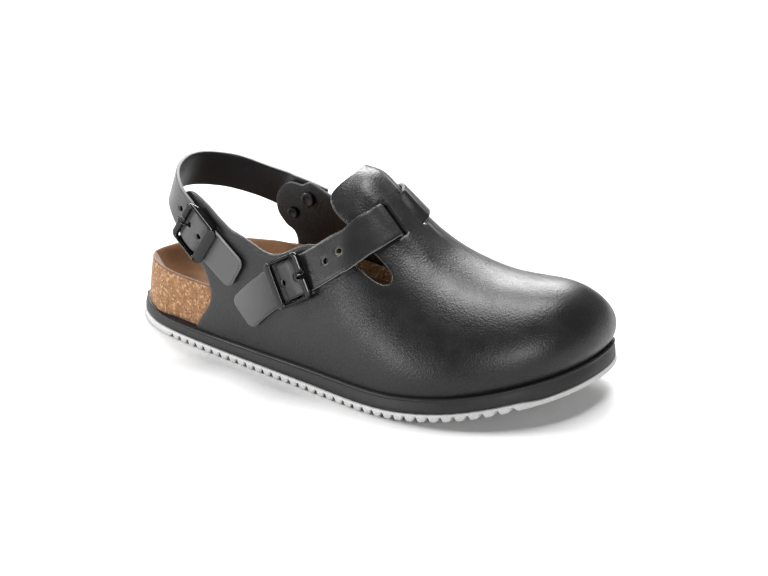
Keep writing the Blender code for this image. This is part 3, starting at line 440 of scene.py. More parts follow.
# The last two colours: the cut edge, pale partly as a painted highlight line, and the painted highlight
# colour.
VAMP_LEATHER = leather("vamp_leather", (0.0040, 0.0040, 0.0044), (0.0085, 0.0084, 0.0090),
                       gloss=0.37, grain=0.0010, fine=0.72,
                       cut_edge_and_highlight=(0.055, 0.053, 0.052), painted_highlight_colour=(0.036, 0.036, 0.038))
STRAP_LEATHER = leather("strap_leather", (0.006, 0.006, 0.0066), (0.012, 0.012, 0.0128),
                        gloss=0.39, grain=0.0009, fine=0.45,
                        cut_edge_and_highlight=(0.20, 0.197, 0.194), painted_highlight_colour=(0.070, 0.070, 0.072))


# %% Cork, suede, foam, rubber and black lacquer
CORK_GRAIN, CORK_FLECK = 0.0013, 0.0008
TAN_DARK, TAN_LIGHT, CREAM = (0.166, 0.072, 0.0255), (0.273, 0.139, 0.060), (0.41, 0.262, 0.142)
BARK, CORK_DUST = (0.09, 0.038, 0.015), (0.140, 0.067, 0.028)
SUEDE_DARK, SUEDE_LIGHT, SUEDE_FIBRE = (0.115, 0.051, 0.019), (0.172, 0.083, 0.036), (0.080, 0.036, 0.014)


def cork():
    """Granules of many tans, some cream and some dark, with pits between them."""
    made, tree, shader, where = start_material("cork", IOR=1.35, Sheen_Weight=0.08)
    drift = noise(tree, where, 0.004, 2.0)
    sway = {"X": span(tree, drift, -0.0010, 0.0010), "Y": span(tree, drift, 0.0008, -0.0008)}
    sway = add(tree, "ShaderNodeCombineXYZ", sway).outputs[0]
    moved = add(tree, "ShaderNodeVectorMath", {0: where, 1: sway}, operation='ADD').outputs[0]

    def random_share(size, channel):
        colour = cells(tree, moved, size, 'F1', "Color")
        return add(tree, "ShaderNodeSeparateColor", {"Color": colour}).outputs[channel]

    grains = mix_colour(tree, random_share(CORK_GRAIN, "Red"), TAN_DARK, TAN_LIGHT)
    cream = span(tree, random_share(CORK_GRAIN, "Green"), 0.0, 0.80, 0.74, 0.84)
    grains = mix_colour(tree, cream, grains, CREAM)
    fleck = span(tree, random_share(CORK_FLECK, "Blue"), 0.0, 0.75, 0.90, 0.95)
    grains = mix_colour(tree, fleck, grains, BARK)
    dust = noise(tree, where, 0.0006, 3.0)
    tone = mix_colour(tree, span(tree, dust, 0.0, 0.28, 0.35, 0.75), grains, CORK_DUST)
    layers = [(cells(tree, moved, CORK_GRAIN), 0.55, 0.0005), (dust, 0.45, 0.0003)]
    finish(tree, shader, tone, span(tree, dust, 0.72, 0.95), layers)
    return made


def suede():
    """Brushed nap: a cloudy tan with short fibres and a soft sheen."""
    made, tree, shader, where = start_material("suede", IOR=1.35, Sheen_Weight=0.35, Sheen_Roughness=0.45)
    cloud = noise(tree, where, 0.018, 4.0)
    nap = noise(tree, where, 0.0007, 4.0, 0.7)
    tone = mix_colour(tree, span(tree, cloud, 0.0, 1.0, 0.3, 0.7), SUEDE_DARK, SUEDE_LIGHT)
    tone = mix_colour(tree, span(tree, nap, 0.0, 0.55, 0.3, 0.8), tone, SUEDE_FIBRE)
    finish(tree, shader, tone, span(tree, nap, 0.85, 1.0), [(nap, 0.45, 0.0003), (cloud, 0.3, 0.0006)])
    return made


def moulded(name, dark, light, rough, size, strength, **constants):
    """Moulded foam or rubber: faint speckle, a skin of fine pores and uneven dullness."""
    made, tree, shader, where = start_material(name, **constants)
    speckle = noise(tree, where, size, 4.0, 0.6)
    cloud = noise(tree, where, 0.02, 2.0)
    tone = mix_colour(tree, span(tree, speckle, 0.0, 1.0, 0.35, 0.7), dark, light)
    dullness = span(tree, cloud, rough - 0.06, rough + 0.08, 0.3, 0.7)
    finish(tree, shader, tone, dullness, [(speckle, strength, 0.00025)])
    return made


CORK, SUEDE_SKIN = cork(), suede()
FOAM = moulded("foam", (0.008, 0.008, 0.009), (0.015, 0.015, 0.016), 0.50, 0.0008, 0.25, IOR=1.38)
RUBBER = moulded("rubber", (0.40, 0.396, 0.392), (0.47, 0.466, 0.462), 0.55, 0.0012, 0.20, IOR=1.48)
LACQUER = moulded("lacquer", (0.002, 0.002, 0.0022), (0.004, 0.004, 0.0044), 0.12, 0.0030, 0.05, IOR=1.38)
DARK_METAL = moulded("dark_metal", (0.016, 0.016, 0.017), (0.030, 0.030, 0.031), 0.30, 0.0010, 0.12, IOR=1.5,
                     Metallic=0.5)


# %% Pieces from arrays
def new_piece(name, points, faces, material, node, inside=None, painted_highlight=None):
    """One mesh piece from arrays, with its finish, its body and the solid it stands for."""
    mesh = bpy.data.meshes.new(name)
    mesh.from_pydata(points.tolist(), [], [tuple(f) for f in faces])
    share = mesh.attributes.new("inside", 'FLOAT', 'POINT')
    share.data.foreach_set("value", np.ones(len(points)) if inside is None else inside)
    # Share of the painted highlight, read by the leather material.
    if painted_highlight is not None:
        mesh.attributes.new("painted_highlight", 'FLOAT', 'POINT').data.foreach_set("value", painted_highlight)
    bm = bmesh.new()
    bm.from_mesh(mesh)
    bmesh.ops.remove_doubles(bm, verts=bm.verts, dist=0.000002)
    bmesh.ops.recalc_face_normals(bm, faces=bm.faces)
    if bm.calc_volume(signed=True) < 0:
        bmesh.ops.reverse_faces(bm, faces=bm.faces)
    bm.to_mesh(mesh)
    bm.free()
    mesh.shade_smooth()
    mesh.materials.append(material)
    piece = bpy.data.objects.new(name, mesh)
    bpy.context.scene.collection.objects.link(piece)
    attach(piece, "root")
    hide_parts(node)
    print(f"{name}: {len(mesh.polygons)} faces")
    return piece


def loft(loops, closed=False):
    """Faces between loops of equal count, and back to the first loop when closed."""
    count, rows = len(loops[0]), len(loops)
    k, i = np.meshgrid(np.arange(rows if closed else rows - 1), np.arange(count), indexing="ij")
    j, n = (i + 1) % count, (k + 1) % rows
    faces = np.stack([k * count + i, k * count + j, n * count + j, n * count + i], -1)
    return np.vstack(loops), faces.reshape(-1, 4).tolist()


def rungs(count, base):
    """Faces of a cap that joins the two sides of a loop from its heel to its toe."""
    half = count // 2
    made = []
    for i in range(half):
        quad = [base + k for k in (i, i + 1, (count - i - 1) % count, (count - i) % count)]
        made.append(tuple(dict.fromkeys(quad)))
    return [face for face in made if len(face) > 2]


def capped(loops):
    """Loft whose first and last loop are closed by rungs."""
    points, faces = loft(loops)
    count = len(loops[0])
    return points, faces + rungs(count, 0) + rungs(count, (len(loops) - 1) * count)


# %% [markdown]
# ## Outsole
#
# A pale rubber plate with cross ribs that end in the saw-tooth edge seen from the side.
# It could be pressed in one mould. A rib's profile repeats along the length; the heel
# and the toe are plain, with a soft bevel.

# %% Outsole
RIB_PITCH, HEEL_BEVEL, BEVEL_REACH, END_STEPS = 0.0063, 0.0020, 0.05, 25
# Share of the pitch, share of the depth above the tip
RIB = ((0.00, 1.00), (0.05, 0.93), (0.12, 0.42), (0.20, 0.08), (0.28, 0.00), (0.56, 0.00), (0.66, 0.06),
       (0.76, 0.40), (0.84, 0.93), (0.90, 1.00))
# Wall of the plate from the floor up: inset, share of the way from the rib's tip to the top
SOLE_WALL = ((0.0016, 0.00), (0.0005, 0.06), (0.0001, 0.25), (0.0, 0.60), (0.0, 0.93), (0.0005, 1.0))


def build_outsole():
    """Cross lines at every fold of the ribs; each line is a low, flat, round-cornered section."""
    first, last = (RIBS_FROM - 0.5) * LENGTH, (RIBS_TO - 0.5) * LENGTH
    count = round((last - first) / RIB_PITCH)
    pitch = (last - first) / count
    xs = np.array([first + pitch * (k + share) for k in range(count) for share, _ in RIB])
    drops = np.array([depth for _ in range(count) for _, depth in RIB])
    half = LENGTH / 2
    bend = 1 - np.cos(np.linspace(0, np.pi / 2, END_STEPS + 1))
    xs = np.r_[-half + (first + half) * bend[:-1], xs, last, half - (half - last) * bend[-2::-1]]
    drops = np.r_[np.zeros(END_STEPS), drops, 1.0, np.zeros(END_STEPS)]
    reach = BEVEL_REACH * LENGTH
    bevel = HEEL_BEVEL * np.clip((-half + reach - xs) / reach, 0.0, 1.0)
    tip = toe_rise(xs) + drops * RIB_DEPTH + bevel
    top = toe_rise(xs) + rubber(xs)
    lines = []
    for side, rows in ((-1, SOLE_WALL), (1, SOLE_WALL[::-1])):
        line = SIDES[side][0]
        width = np.interp(xs, line[:, 0], line[:, 1])
        middle = (np.interp(xs, *SIDES[-1][0].T) + np.interp(xs, *SIDES[1][0].T)) / 2
        for inset, climb in rows:
            shrink = np.clip(inset / np.maximum(np.abs(width - middle), 1e-4), 0, 0.9)
            lines.append(np.stack([xs, width + (middle - width) * shrink, tip + (top - tip) * climb], -1))
    cross = np.stack(lines, 1)
    points, faces = loft(list(cross))
    return new_piece("ribbed_outsole", points, faces, RUBBER, "outsole")


outsole = build_outsole()

# %% [markdown]
# ## Midsole
#
# A band of black foam, cut a little narrower at its top and with a thin raised line there
# that catches the light. Its wall is a short table of insets and heights.

# %% Midsole
SIDE_STEPS = 150
EVEN = np.linspace(0, 1, SIDE_STEPS + 1)
SHARES = (1 - np.cos(EVEN * np.pi)) / 2 * 0.35 + EVEN * 0.65
# Inset, share of the thickness
FOAM_WALL = ((0.0030, 0.00), (0.0010, 0.00), (0.0006, 0.06), (0.0008, 0.30), (0.0012, 0.60), (0.0017, 0.76),
             (0.0017, 0.82), (0.0013, 0.86), (0.0013, 0.92), (0.0018, 0.98), (0.0030, 1.00), (0.0060, 1.00))


def round_loop(point):
    """Loop of points up the lateral side and back down the medial side."""
    return np.vstack([point(SHARES, -1), point(SHARES[1:-1][::-1], 1)])


def build_midsole():
    """Loops of the outline at each inset and height, closed by rungs above and below."""
    def level(inset, climb):
        def point(share, side):
            plan = edge(share, side, inset)
            x = plan[:, 0]
            low = toe_rise(x) + rubber(x) + GAP
            return np.concatenate([plan, (low + (deck(x) - low) * climb)[:, None]], 1)
        return round_loop(point)
    points, faces = capped([level(inset, climb) for inset, climb in FOAM_WALL])
    return new_piece("foam_midsole", points, faces, FOAM, "midsole")


midsole = build_midsole()

# %% [markdown]
# ## Cork footbed and suede lining
#
# The footbed is a cork body whose wall leans inwards and whose top is a cup: from the rim
# it falls in a soft curve to the floor. It could be ground from a pressed block. The
# suede is glued in the cup, offset along the cup's own normals, with a rolled edge.

# %% Footbed surface
CORK_FLOOR, CORK_RIM, SUEDE, NAP_GAP = 0.0100, 0.0250, 0.0010, 0.0001
CORK_FOOT_INSET, CORK_RIM_INSET, CUP_WIDTH, CUP_WIDTH_TOE = -0.0004, 0.0030, 0.0185, 0.0080
# Shares of the side where the leather starts to cover the cork, and where the toe draws in
COVERED_FROM, COVERED_FADE, TOE_DRAW, DRAWN_FROM, DRAWN_FADE = 0.10, 0.06, 0.0020, 0.80, 0.12
# Ends of the footbed's spine, shares of LENGTH from the middle
SPINE_BACK, SPINE_FRONT = -0.375, 0.28
CUP_NARROWS, RIM_CROWN = 0.55, 0.02
# Station, floor share of CORK_FLOOR, lateral and medial rim share of CORK_RIM
FOOTBED = np.array((
    (0.00, 1.05, 0.88, 0.88),
    (0.10, 1.00, 0.98, 1.10),
    (0.22, 1.15, 1.00, 1.27),
    (0.36, 1.45, 0.97, 1.40),
    (0.50, 1.15, 0.80, 1.10),
    (0.66, 0.75, 0.60, 0.70),
    (0.82, 0.65, 0.42, 0.44),
    (1.00, 0.45, 0.26, 0.26),
))
# Share of the cup's width inwards, share of the way down to its floor (negative), or up
CUP_STEPS = ((0.00, 0.00), (0.03, 0.04), (0.10, 0.01), (0.17, -0.14), (0.27, -0.38), (0.42, -0.66),
             (0.66, -0.90), (1.00, -1.00))


def cork_inset(share, climb):
    """The bare cork leans inwards at the heel; under the leather it draws in."""
    bare = CORK_FOOT_INSET + (CORK_RIM_INSET - CORK_FOOT_INSET) * np.clip(climb, 0.0, 1.0)
    covered = (WALL + FITTED - bare) * smoothstep((share - COVERED_FROM) / COVERED_FADE)
    return bare + covered + TOE_DRAW * smoothstep((share - DRAWN_FROM) / DRAWN_FADE)


def cork_rim(share, side):
    """Height of the cork's rim."""
    x = edge(share, side, FEATHER)[:, 0]
    return deck(x) + table(FOOTBED, x / LENGTH + 0.5, 2 if side < 0 else 3) * CORK_RIM


def wall_point(share, side, height):
    """Point of the cork's wall at a height: the arch solved for its half width, less the inset."""
    foot, ridge, low, high, crown, fullness = section(share, side)
    rise = np.clip((height - low) / np.maximum(high - low, 1e-6), 0.0, 1.0)
    out = (1 - rise ** fullness) ** (1 / fullness)
    plan = ridge + (foot - ridge) * out[:, None]
    climb = (height - low) / (cork_rim(share, side) - low)
    shift = bulge(rise * crown, plan[:, 0]) - cork_inset(share, climb)
    return np.concatenate([plan + edge_normal(share, side) * shift[:, None], height[:, None]], 1)


def inward(share, side):
    """Direction in plan from the edge to the spine of the footbed."""
    spine = (edge(share, -1, 0.0) + edge(share, 1, 0.0)) / 2
    spine[:, 0] = np.clip(spine[:, 0], SPINE_BACK * LENGTH, SPINE_FRONT * LENGTH)
    return unit(spine - edge(share, side, 0.0))


def cup_loop(across, fall):
    """Loop of the cork's upper face."""
    def point(share, side):
        rim = cork_rim(share, side)
        wall = wall_point(share, side, rim)
        width = CUP_WIDTH + (CUP_WIDTH_TOE - CUP_WIDTH) * smoothstep((share - CUP_NARROWS) / 0.3)
        plan = wall[:, :2] + inward(share, side) * (width * across)[:, None]
        x = plan[:, 0]
        floor = deck(x) + GAP + table(FOOTBED, x / LENGTH + 0.5, 1) * CORK_FLOOR
        height = rim + (rim - floor) * np.minimum(fall, 0.0) + np.maximum(fall, 0.0) * RIM_CROWN
        return np.concatenate([plan, height[:, None]], 1)
    return round_loop(point)


# %% Footbed and lining
# The suede's edge sinks into the cup ahead of the heel: share of the cup, from where, over what
EDGE_SINKS, SINKS_FROM, SINKS_FADE = 0.44, 0.27, 0.13


def build_footbed():
    """Wall loops from the feather to the rim, then the loops of the cup."""
    loops = []
    for share_up in np.linspace(0.0, 0.97, 12):
        def point(share, side):
            base = section(share, side)[2]
            return wall_point(share, side, base + (cork_rim(share, side) - base) * share_up)
        loops.append(round_loop(point))
    loops += [cup_loop(across, fall) for across, fall in spline(CUP_STEPS, 3)]
    points, faces = capped(loops)
    return new_piece("cork_footbed", points, faces, CORK, "footbed")


def build_lining():
    """Two skins offset along the cup's normals, joined by a half-round edge and closed along the middle."""
    steps = spline(CUP_STEPS, 3)[4:]
    cup = np.array([cup_loop(across, fall) for across, fall in steps])
    def sunk(share, side):
        return EDGE_SINKS * smoothstep((share[:, None] - SINKS_FROM) / SINKS_FADE)
    start = round_loop(sunk)[:, 0]
    order = np.arange(len(cup), dtype=float)
    rank = order[:, None] + (1 - order[:, None] / order[-1]) * start * order[-1]
    cup = np.stack([read(cup[:, k], order, rank[:, k]) for k in range(cup.shape[1])], 1)
    around = np.roll(cup, -1, 1) - np.roll(cup, 1, 1)
    normal = unit(np.cross(around, np.gradient(cup, axis=0)))
    normal *= np.where(normal[..., 2:] < 0, -1.0, 1.0)
    under = cup + normal * NAP_GAP
    middle = cup[0] + normal[0] * (NAP_GAP + SUEDE / 2) - unit(np.gradient(cup, axis=0)[0]) * 0.0004
    over = cup + normal * (NAP_GAP + SUEDE)
    points, faces = capped([*under[::-1], middle, *over])
    return new_piece("suede_lining", points, faces, SUEDE_SKIN, "footbed_lining")


footbed = build_footbed()
lining = build_lining()

# %% [markdown]
# ## Cutting leather
#
# Leather is cut flat and folded over the last. The pattern is an outline with holes, its
# inside is filled with triangles, and both faces are laid on the last. Near a cut edge
# the two faces draw together along a quarter circle, so the edge is rounded and catches
# a thin line of light. The share `inside` is 0 on the cut and 1 away from it.


# %% Folded sheets
def in_blocks(test, points):
    """Results of a test for many points, a block at a time, which spares memory."""
    return np.concatenate([test(block) for block in np.array_split(points, max(1, len(points) // 2000))])


def within(points, loop):
    """Even-odd test of points against a closed loop."""
    x0, y0 = loop[:, 0], loop[:, 1]
    x1, y1 = np.roll(loop, -1, 0).T
    level = np.where(y1 == y0, 1.0, y1 - y0)

    def test(block):
        x, y = block[:, :1], block[:, 1:]
        crosses = (y0 > y) != (y1 > y)
        return (crosses & (x < x0 + (y - y0) * (x1 - x0) / level)).sum(1) % 2 == 1
    return in_blocks(test, points)


def on_leather(points, loops):
    """Points inside the first loop and outside the others, which are holes."""
    keep = within(points, loops[0])
    for hole in loops[1:]:
        keep &= ~within(points, hole)
    return keep


def gap_to(points, line, closed=True):
    """Distance from points to a line of segments."""
    start = line if closed else line[:-1]
    stretch = (np.roll(line, -1, 0) if closed else line[1:]) - start
    length = np.maximum((stretch * stretch).sum(-1), 1e-14)

    def test(block):
        offset = block[:, None, :] - start
        t = np.clip((offset * stretch).sum(-1) / length, 0.0, 1.0)
        return np.linalg.norm(offset - stretch * t[..., None], axis=-1).min(1)
    return in_blocks(test, points)


def even_loop(loop, spacing):
    """Closed loop read again at an even spacing."""
    ring = np.vstack([loop, loop[:1]])
    run = arc(ring)
    count = max(12, round(run[-1] / spacing))
    return read(ring, run, np.linspace(0, run[-1], count, endpoint=False))


def corner_arcs(back, front, half, corner, steps):
    """Quarter circles at the four corners of a rectangle, in turn from the front medial one."""
    angle = np.linspace(0, np.pi / 2, steps)
    centres = ((front - corner, half - corner), (back + corner, half - corner),
               (back + corner, corner - half), (front - corner, corner - half))
    arcs = []
    for k, (x, y) in enumerate(centres):
        turned = angle + k * np.pi / 2
        arcs.append(np.stack([x + corner * np.cos(turned), y + corner * np.sin(turned)], 1))
    return arcs


EDGE_ROUND = 0.0007


def folded(pattern, holes, grid, spacing, place, outer, inner, plain=()):
    """Both faces of a flat pattern with holes, with rounded cut edges; plain lines stay square."""
    loops = [pattern, *holes]
    rows = [grid]
    for loop in loops:
        ahead = unit(np.roll(loop, -1, 0) - np.roll(loop, 1, 0))
        side = np.stack([-ahead[:, 1], ahead[:, 0]], 1)
        for share in (0.10, 0.32, 0.70):
            for turned in (-1, 1):
                rows.append(loop + side * (share * EDGE_ROUND * turned))
    points = np.vstack(rows)
    keep = on_leather(points, loops)
    points = points[keep]
    edge_gap = np.min([gap_to(points, loop) for loop in loops], axis=0)
    ring = np.zeros(len(points), bool)
    ring[keep[:len(grid)].sum():] = True
    clear = max(EDGE_ROUND * 1.1, spacing * 0.35)
    points = points[np.where(ring, edge_gap > 0.00005, edge_gap > clear)]
    edges, start = [], 0
    for loop in loops:
        edges += [(start + i, start + (i + 1) % len(loop)) for i in range(len(loop))]
        start += len(loop)
    points = np.vstack([*loops, points])
    verts, _, faces, *_ = delaunay_2d_cdt([Vector(p) for p in points], edges, [], 0, 1e-8)
    verts, faces = np.array([tuple(v) for v in verts]), np.array([tuple(f) for f in faces])
    faces = faces[on_leather(verts[faces].mean(1), loops)]
    gap = np.min([gap_to(verts, loop) for loop in loops], axis=0)
    for line in plain:
        gap = np.where(gap_to(verts, line, closed=False) < 1.5 * EDGE_ROUND, EDGE_ROUND, gap)
    reach = np.clip(gap / EDGE_ROUND, 0.0, 1.0)
    drop = EDGE_ROUND * (1 - np.sqrt(np.clip(1 - (1 - reach) ** 2, 0.0, 1.0)))
    count = len(verts)
    top, bottom = place(verts, outer - drop), place(verts, inner + drop)
    sides = np.vstack([faces[:, [0, 1]], faces[:, [1, 2]], faces[:, [2, 0]]])
    present = {tuple(s) for s in sides.tolist()}
    walls = [(a, b, b + count, a + count) for a, b in sides.tolist() if (b, a) not in present]
    inside = smoothstep((reach - 0.02) / 0.30)
    return (np.vstack([top, bottom]), faces.tolist() + (faces[:, ::-1] + count).tolist() + walls,
            np.r_[inside, inside])


# %% [markdown]
# ## Upper
#
# One piece of leather: the vamp over the toes, the tongue at its throat, two quarters
# that rise into branches for the heel strap, and an open cut-out each side. The relief
# table lays soft ridges (positive) and troughs (negative): each row is a line on
# the last with a width and a height that fade like a bell towards its sides and ends.

# %% Upper
TOPLINE = (
    (0.205, 0.000), (0.220, 0.035), (0.243, 0.085), (0.244, 0.130), (0.228, 0.170), (0.200, 0.197),
    (0.179, 0.230), (0.172, 0.275), (0.180, 0.322), (0.202, 0.340), (0.235, 0.325), (0.265, 0.302),
    (0.295, 0.284), (0.332, 0.283), (0.370, 0.297), (0.400, 0.335), (0.435, 0.410), (0.466, 0.444),
    (0.502, 0.445), (0.540, 0.450), (0.574, 0.462), (0.592, 0.492), (0.597, 0.530), (0.590, 0.562),
    (0.566, 0.566), (0.535, 0.558), (0.505, 0.574), (0.483, 0.598), (0.469, 0.635), (0.466, 0.680),
    (0.471, 0.740), (0.481, 0.840), (0.486, 0.920), (0.487, 1.000), (0.486, 1.080), (0.481, 1.160),
    (0.471, 1.260), (0.466, 1.320), (0.469, 1.365), (0.483, 1.402), (0.505, 1.426), (0.535, 1.442),
    (0.566, 1.434), (0.590, 1.438), (0.597, 1.470), (0.592, 1.508), (0.574, 1.538), (0.540, 1.550),
    (0.502, 1.556), (0.466, 1.572), (0.430, 1.612), (0.390, 1.630), (0.350, 1.645), (0.328, 1.676),
    (0.298, 1.690), (0.277, 1.722), (0.276, 1.765), (0.293, 1.797), (0.313, 1.816), (0.316, 1.860),
    (0.295, 1.920), (0.270, 2.000),
)
# Start share and turn, end share and turn, width, height
RELIEF = (
    (0.600, 0.60, 0.640, 1.40, 0.0100, -0.00045),
    (0.560, 0.30, 0.660, 0.52, 0.0090, -0.00035),
    (0.440, 0.12, 0.560, 0.24, 0.0100, 0.00030),
    (0.700, 0.45, 0.790, 0.95, 0.0160, 0.00040),
    (0.640, 0.10, 0.860, 0.12, 0.0070, 0.00030),
)
UPPER_SPACING = 0.0017
# The lateral branch gets a painted highlight: paler above one height and behind one place, each with its fade
BRANCH_LOW, BRANCH_FADE, BRANCH_AHEAD, AHEAD_FADE = 0.048, 0.030, -0.045, 0.020


def relief(pattern):
    """Sum of the listed ridges: height times a bell of the distance to its line."""
    total = np.zeros(len(pattern))
    for share_0, turn_0, share_1, turn_1, width, height in RELIEF:
        start, end = flat([(share_0, turn_0), (share_1, turn_1)])
        stretch = end - start
        t = np.clip((pattern - start) @ stretch / (stretch @ stretch), 0.0, 1.0)
        away = np.linalg.norm(pattern - start - stretch * t[:, None], axis=1)
        fade = 0.35 + 0.65 * np.sin(np.pi * np.clip(t, 0.08, 0.92))
        total += height * np.exp(-(away / width) ** 2) * fade
    return total


def on_last(pattern, lift):
    """Flat pattern points laid on the last and moved out along its normal."""
    share, turn = pattern[..., 0] / SIDE_LENGTH, pattern[..., 1] / PATTERN_GIRTH + 1.0
    raised = np.asarray(lift) + bridge_lift(pattern)
    return arch(share, turn) + normal_at(share, turn) * raised[..., None]


def vamp_place(pattern, lift):
    """Leather with its listed relief."""
    return on_last(pattern, lift + relief(pattern))


def slot_loop(at):
    """Slot with rounded ends across the strap's line, a little longer than the strap is wide."""
    arcs = corner_arcs(-SLOT_WIDTH / 2, SLOT_WIDTH / 2, STRAP_WIDTH / 2 + FITTED, 0.0012, 5)
    corners = even_loop(np.vstack(arcs), 0.0006)
    return beside_line(at + corners[:, 0], corners[:, 1])


def feather_line(first, last, turn, count):
    """Pattern points along the feather line, between two shares and without both ends."""
    shares = np.linspace(first, last, count)[1:-1]
    return flat(np.stack([shares, np.full(len(shares), turn)], 1))


def build_upper():
    """The pattern's outline, its slots and a grid that is finer where the toe closes."""
    top = spline(flat(TOPLINE), 12)
    lateral = feather_line(1.0, TOPLINE[0][0], 0.0, 200)
    medial = feather_line(TOPLINE[-1][0], 1.0, 2.0, 190)
    turns = 1.0 + np.arange(-66, 67) * 0.015
    close = 0.04 * 0.86 ** np.arange(1, 34)
    shares = np.r_[np.arange(0.17, 0.96, UPPER_SPACING / SIDE_LENGTH), 1.0 - close]
    tip = flat(np.stack([np.full(len(turns) + 2, 1.0), np.r_[2.0, turns[::-1], 0.0]], 1))
    pattern = np.vstack([top, medial, tip, lateral])
    holes = [slot_loop(AT_LATERAL_SLOT), slot_loop(AT_MEDIAL_SLOT)]
    grid = flat(np.stack(np.meshgrid(shares, turns), -1).reshape(-1, 2))
    plain = [np.vstack([medial, tip, lateral])]
    points, faces, inside = folded(pattern, holes, grid, UPPER_SPACING, vamp_place, 0.0, -WALL, plain)
    x, y, z = points.T
    # Painted highlight: the top of the lateral branch, behind the heel strap, is painted paler where light
    # falls on it.
    painted_highlight = 0.75 * smoothstep((z - BRANCH_LOW) / BRANCH_FADE) * smoothstep((BRANCH_AHEAD - x) / AHEAD_FADE)
    return new_piece("leather_upper", points, faces, VAMP_LEATHER, "upper", inside, painted_highlight * (y < 0))


upper = build_upper()

# %% [markdown]
# ## Straps
#
# A strap is a ribbon with punched holes and a rounded tail. Round its buckle it humps
# over the centre bar, and at the slots it dives under the leather. The lift above the
# leather is a table of places along the strap, and both faces follow it.

# %% Straps
BUCKLE_LENGTH, BUCKLE_WIDTH, HOLE_PITCH, PIN_HOLE = 0.0250, 0.0254, 0.0088, 0.0017
UNDER_BRIDGE, ON_BRANCH, JOINT_WIDENING = 0.0009, 0.0010, 0.20
BUCKLE_FOLD = np.array((
    (-0.52, 0.00), (-0.29, 0.25), (-0.08, 1.00), (0.08, 1.00), (0.26, 0.70), (0.36, 0.32), (0.56, 0.00),
))
INSTEP_HOLES = (-0.40, 0.70, 2.72, 3.74)
HEEL_HOLES = (-0.30, 0.70, 1.90)
# Shares of LENGTH, BALL_WIDTH and INSTEP_HEIGHT, lean of its top inwards
HEEL_LINE = (
    (-0.312, 0.258, 0.780, 0.05), (-0.343, 0.190, 0.810, 0.12), (-0.365, 0.100, 0.832, 0.20),
    (-0.372, 0.010, 0.836, 0.28), (-0.364, -0.090, 0.820, 0.28), (-0.340, -0.172, 0.785, 0.18),
)
HEEL_ON_MEDIAL = ((0.366, 1.706), (0.338, 1.718), (0.306, 1.724), (0.274, 1.714))
HEEL_ON_LATERAL = ((0.200, 0.283), (0.228, 0.256), (0.250, 0.237), (0.272, 0.218), (0.293, 0.200),
                   (0.312, 0.184))
STRAP_SPACING = 0.0011
# Where the straps get a painted highlight: up to a place ahead, and up to a place inwards
TAIL_HIGHLIGHT_TO, TAIL_FADE, HEEL_HIGHLIGHT_TO, HEEL_FADE = -0.050, 0.040, 0.015, 0.020


def circle(centre, radius, count=28):
    """Even points on a circle."""
    angle = np.arange(count) * 2 * np.pi / count
    return np.asarray(centre) + np.stack([np.cos(angle), np.sin(angle)], 1) * radius


def buckle_lift(run):
    """Lift of the strap where it passes its buckle."""
    return table(BUCKLE_FOLD, run / BUCKLE_LENGTH, 1) * STRAP


def strap_sheet(back, ahead, holes, place):
    """Ribbon with a rounded tail behind, laid by its place along and across."""
    half = STRAP_WIDTH / 2
    corner = half * 0.45
    angle = np.linspace(0, np.pi / 2, 9)
    tail = np.stack([-back + corner - corner * np.sin(angle), half - corner + corner * np.cos(angle)], 1)
    tail = np.vstack([tail, (tail * [1, -1])[::-1]])
    pattern = even_loop(np.vstack([tail, [[ahead, -half], [ahead, half]]]), 0.0009)
    xs = np.arange(-back, ahead, STRAP_SPACING)
    ys = np.arange(-half, half, STRAP_SPACING) + STRAP_SPACING / 2
    grid = np.stack(np.meshgrid(xs, ys), -1).reshape(-1, 2)
    loops = [circle((x, y), radius) for x, y, radius in holes]
    return folded(pattern, loops, grid, STRAP_SPACING, place, STRAP, 0.0)


def instep_place(points, level):
    """Over the leather outside, under the bridge between the slots."""
    run = points[:, 0] + AT_BUCKLE
    below = -(WALL + UNDER_BRIDGE + STRAP)
    half = SLOT_WIDTH / 2
    sunk = smoothstep((run - AT_LATERAL_SLOT + half) / SLOT_WIDTH) \
        - smoothstep((run - AT_MEDIAL_SLOT + half) / SLOT_WIDTH)
    lift = FITTED + buckle_lift(points[:, 0]) + (below - FITTED) * sunk + level
    return on_last(beside_line(np.clip(run, 0.0, LINE_RUN[-1]), points[:, 1]), lift)


def heel_line():
    """Centre line of the heel strap, tail to medial end, its normals and the buckle's place."""
    lateral, medial = np.array(HEEL_ON_LATERAL)[::-1], np.array(HEEL_ON_MEDIAL)[::-1]
    free = np.array(HEEL_LINE)[::-1]
    space = free[:, :3] * [LENGTH, BALL_WIDTH, INSTEP_HEIGHT]
    out = unit(space[:, :2] - [-0.27 * LENGTH, 0.03 * BALL_WIDTH])
    points = np.vstack([arch(*lateral.T), space, arch(*medial.T)])
    leaning = np.concatenate([out, free[:, 3:]], 1)
    normals = unit(np.vstack([normal_at(*lateral.T), leaning, normal_at(*medial.T)]))
    line, normal = spline(points, 8), unit(spline(normals, 8))
    run = arc(line)
    return line, normal, run, run[(len(lateral) - 2) * 8]


HEEL, HEEL_NORMAL, HEEL_RUN, AT_HEEL_BUCKLE = heel_line()
HEEL_TANGENT = unit(np.gradient(HEEL, axis=0))
# Distance from the strap's end and offset across it in shares of LENGTH, head radius
RIVET_SPOTS = ((0.0304, -0.0100, 0.0043), (0.0600, 0.0250, 0.0034))
# Share of the head's radius, and depth or height in metres, of the inner and the outer head
RIVET_INNER = ((0.0, 0.0007), (0.5, 0.0007), (0.62, 0.0009), (0.86, 0.0010), (0.97, 0.0007), (1.0, 0.0002),
               (1.0, 0.0))
RIVET_OUTER = ((1.0, 0.0), (1.0, 0.0002), (0.93, 0.0006), (0.75, 0.0010), (0.4, 0.00125), (0.0, 0.0013))


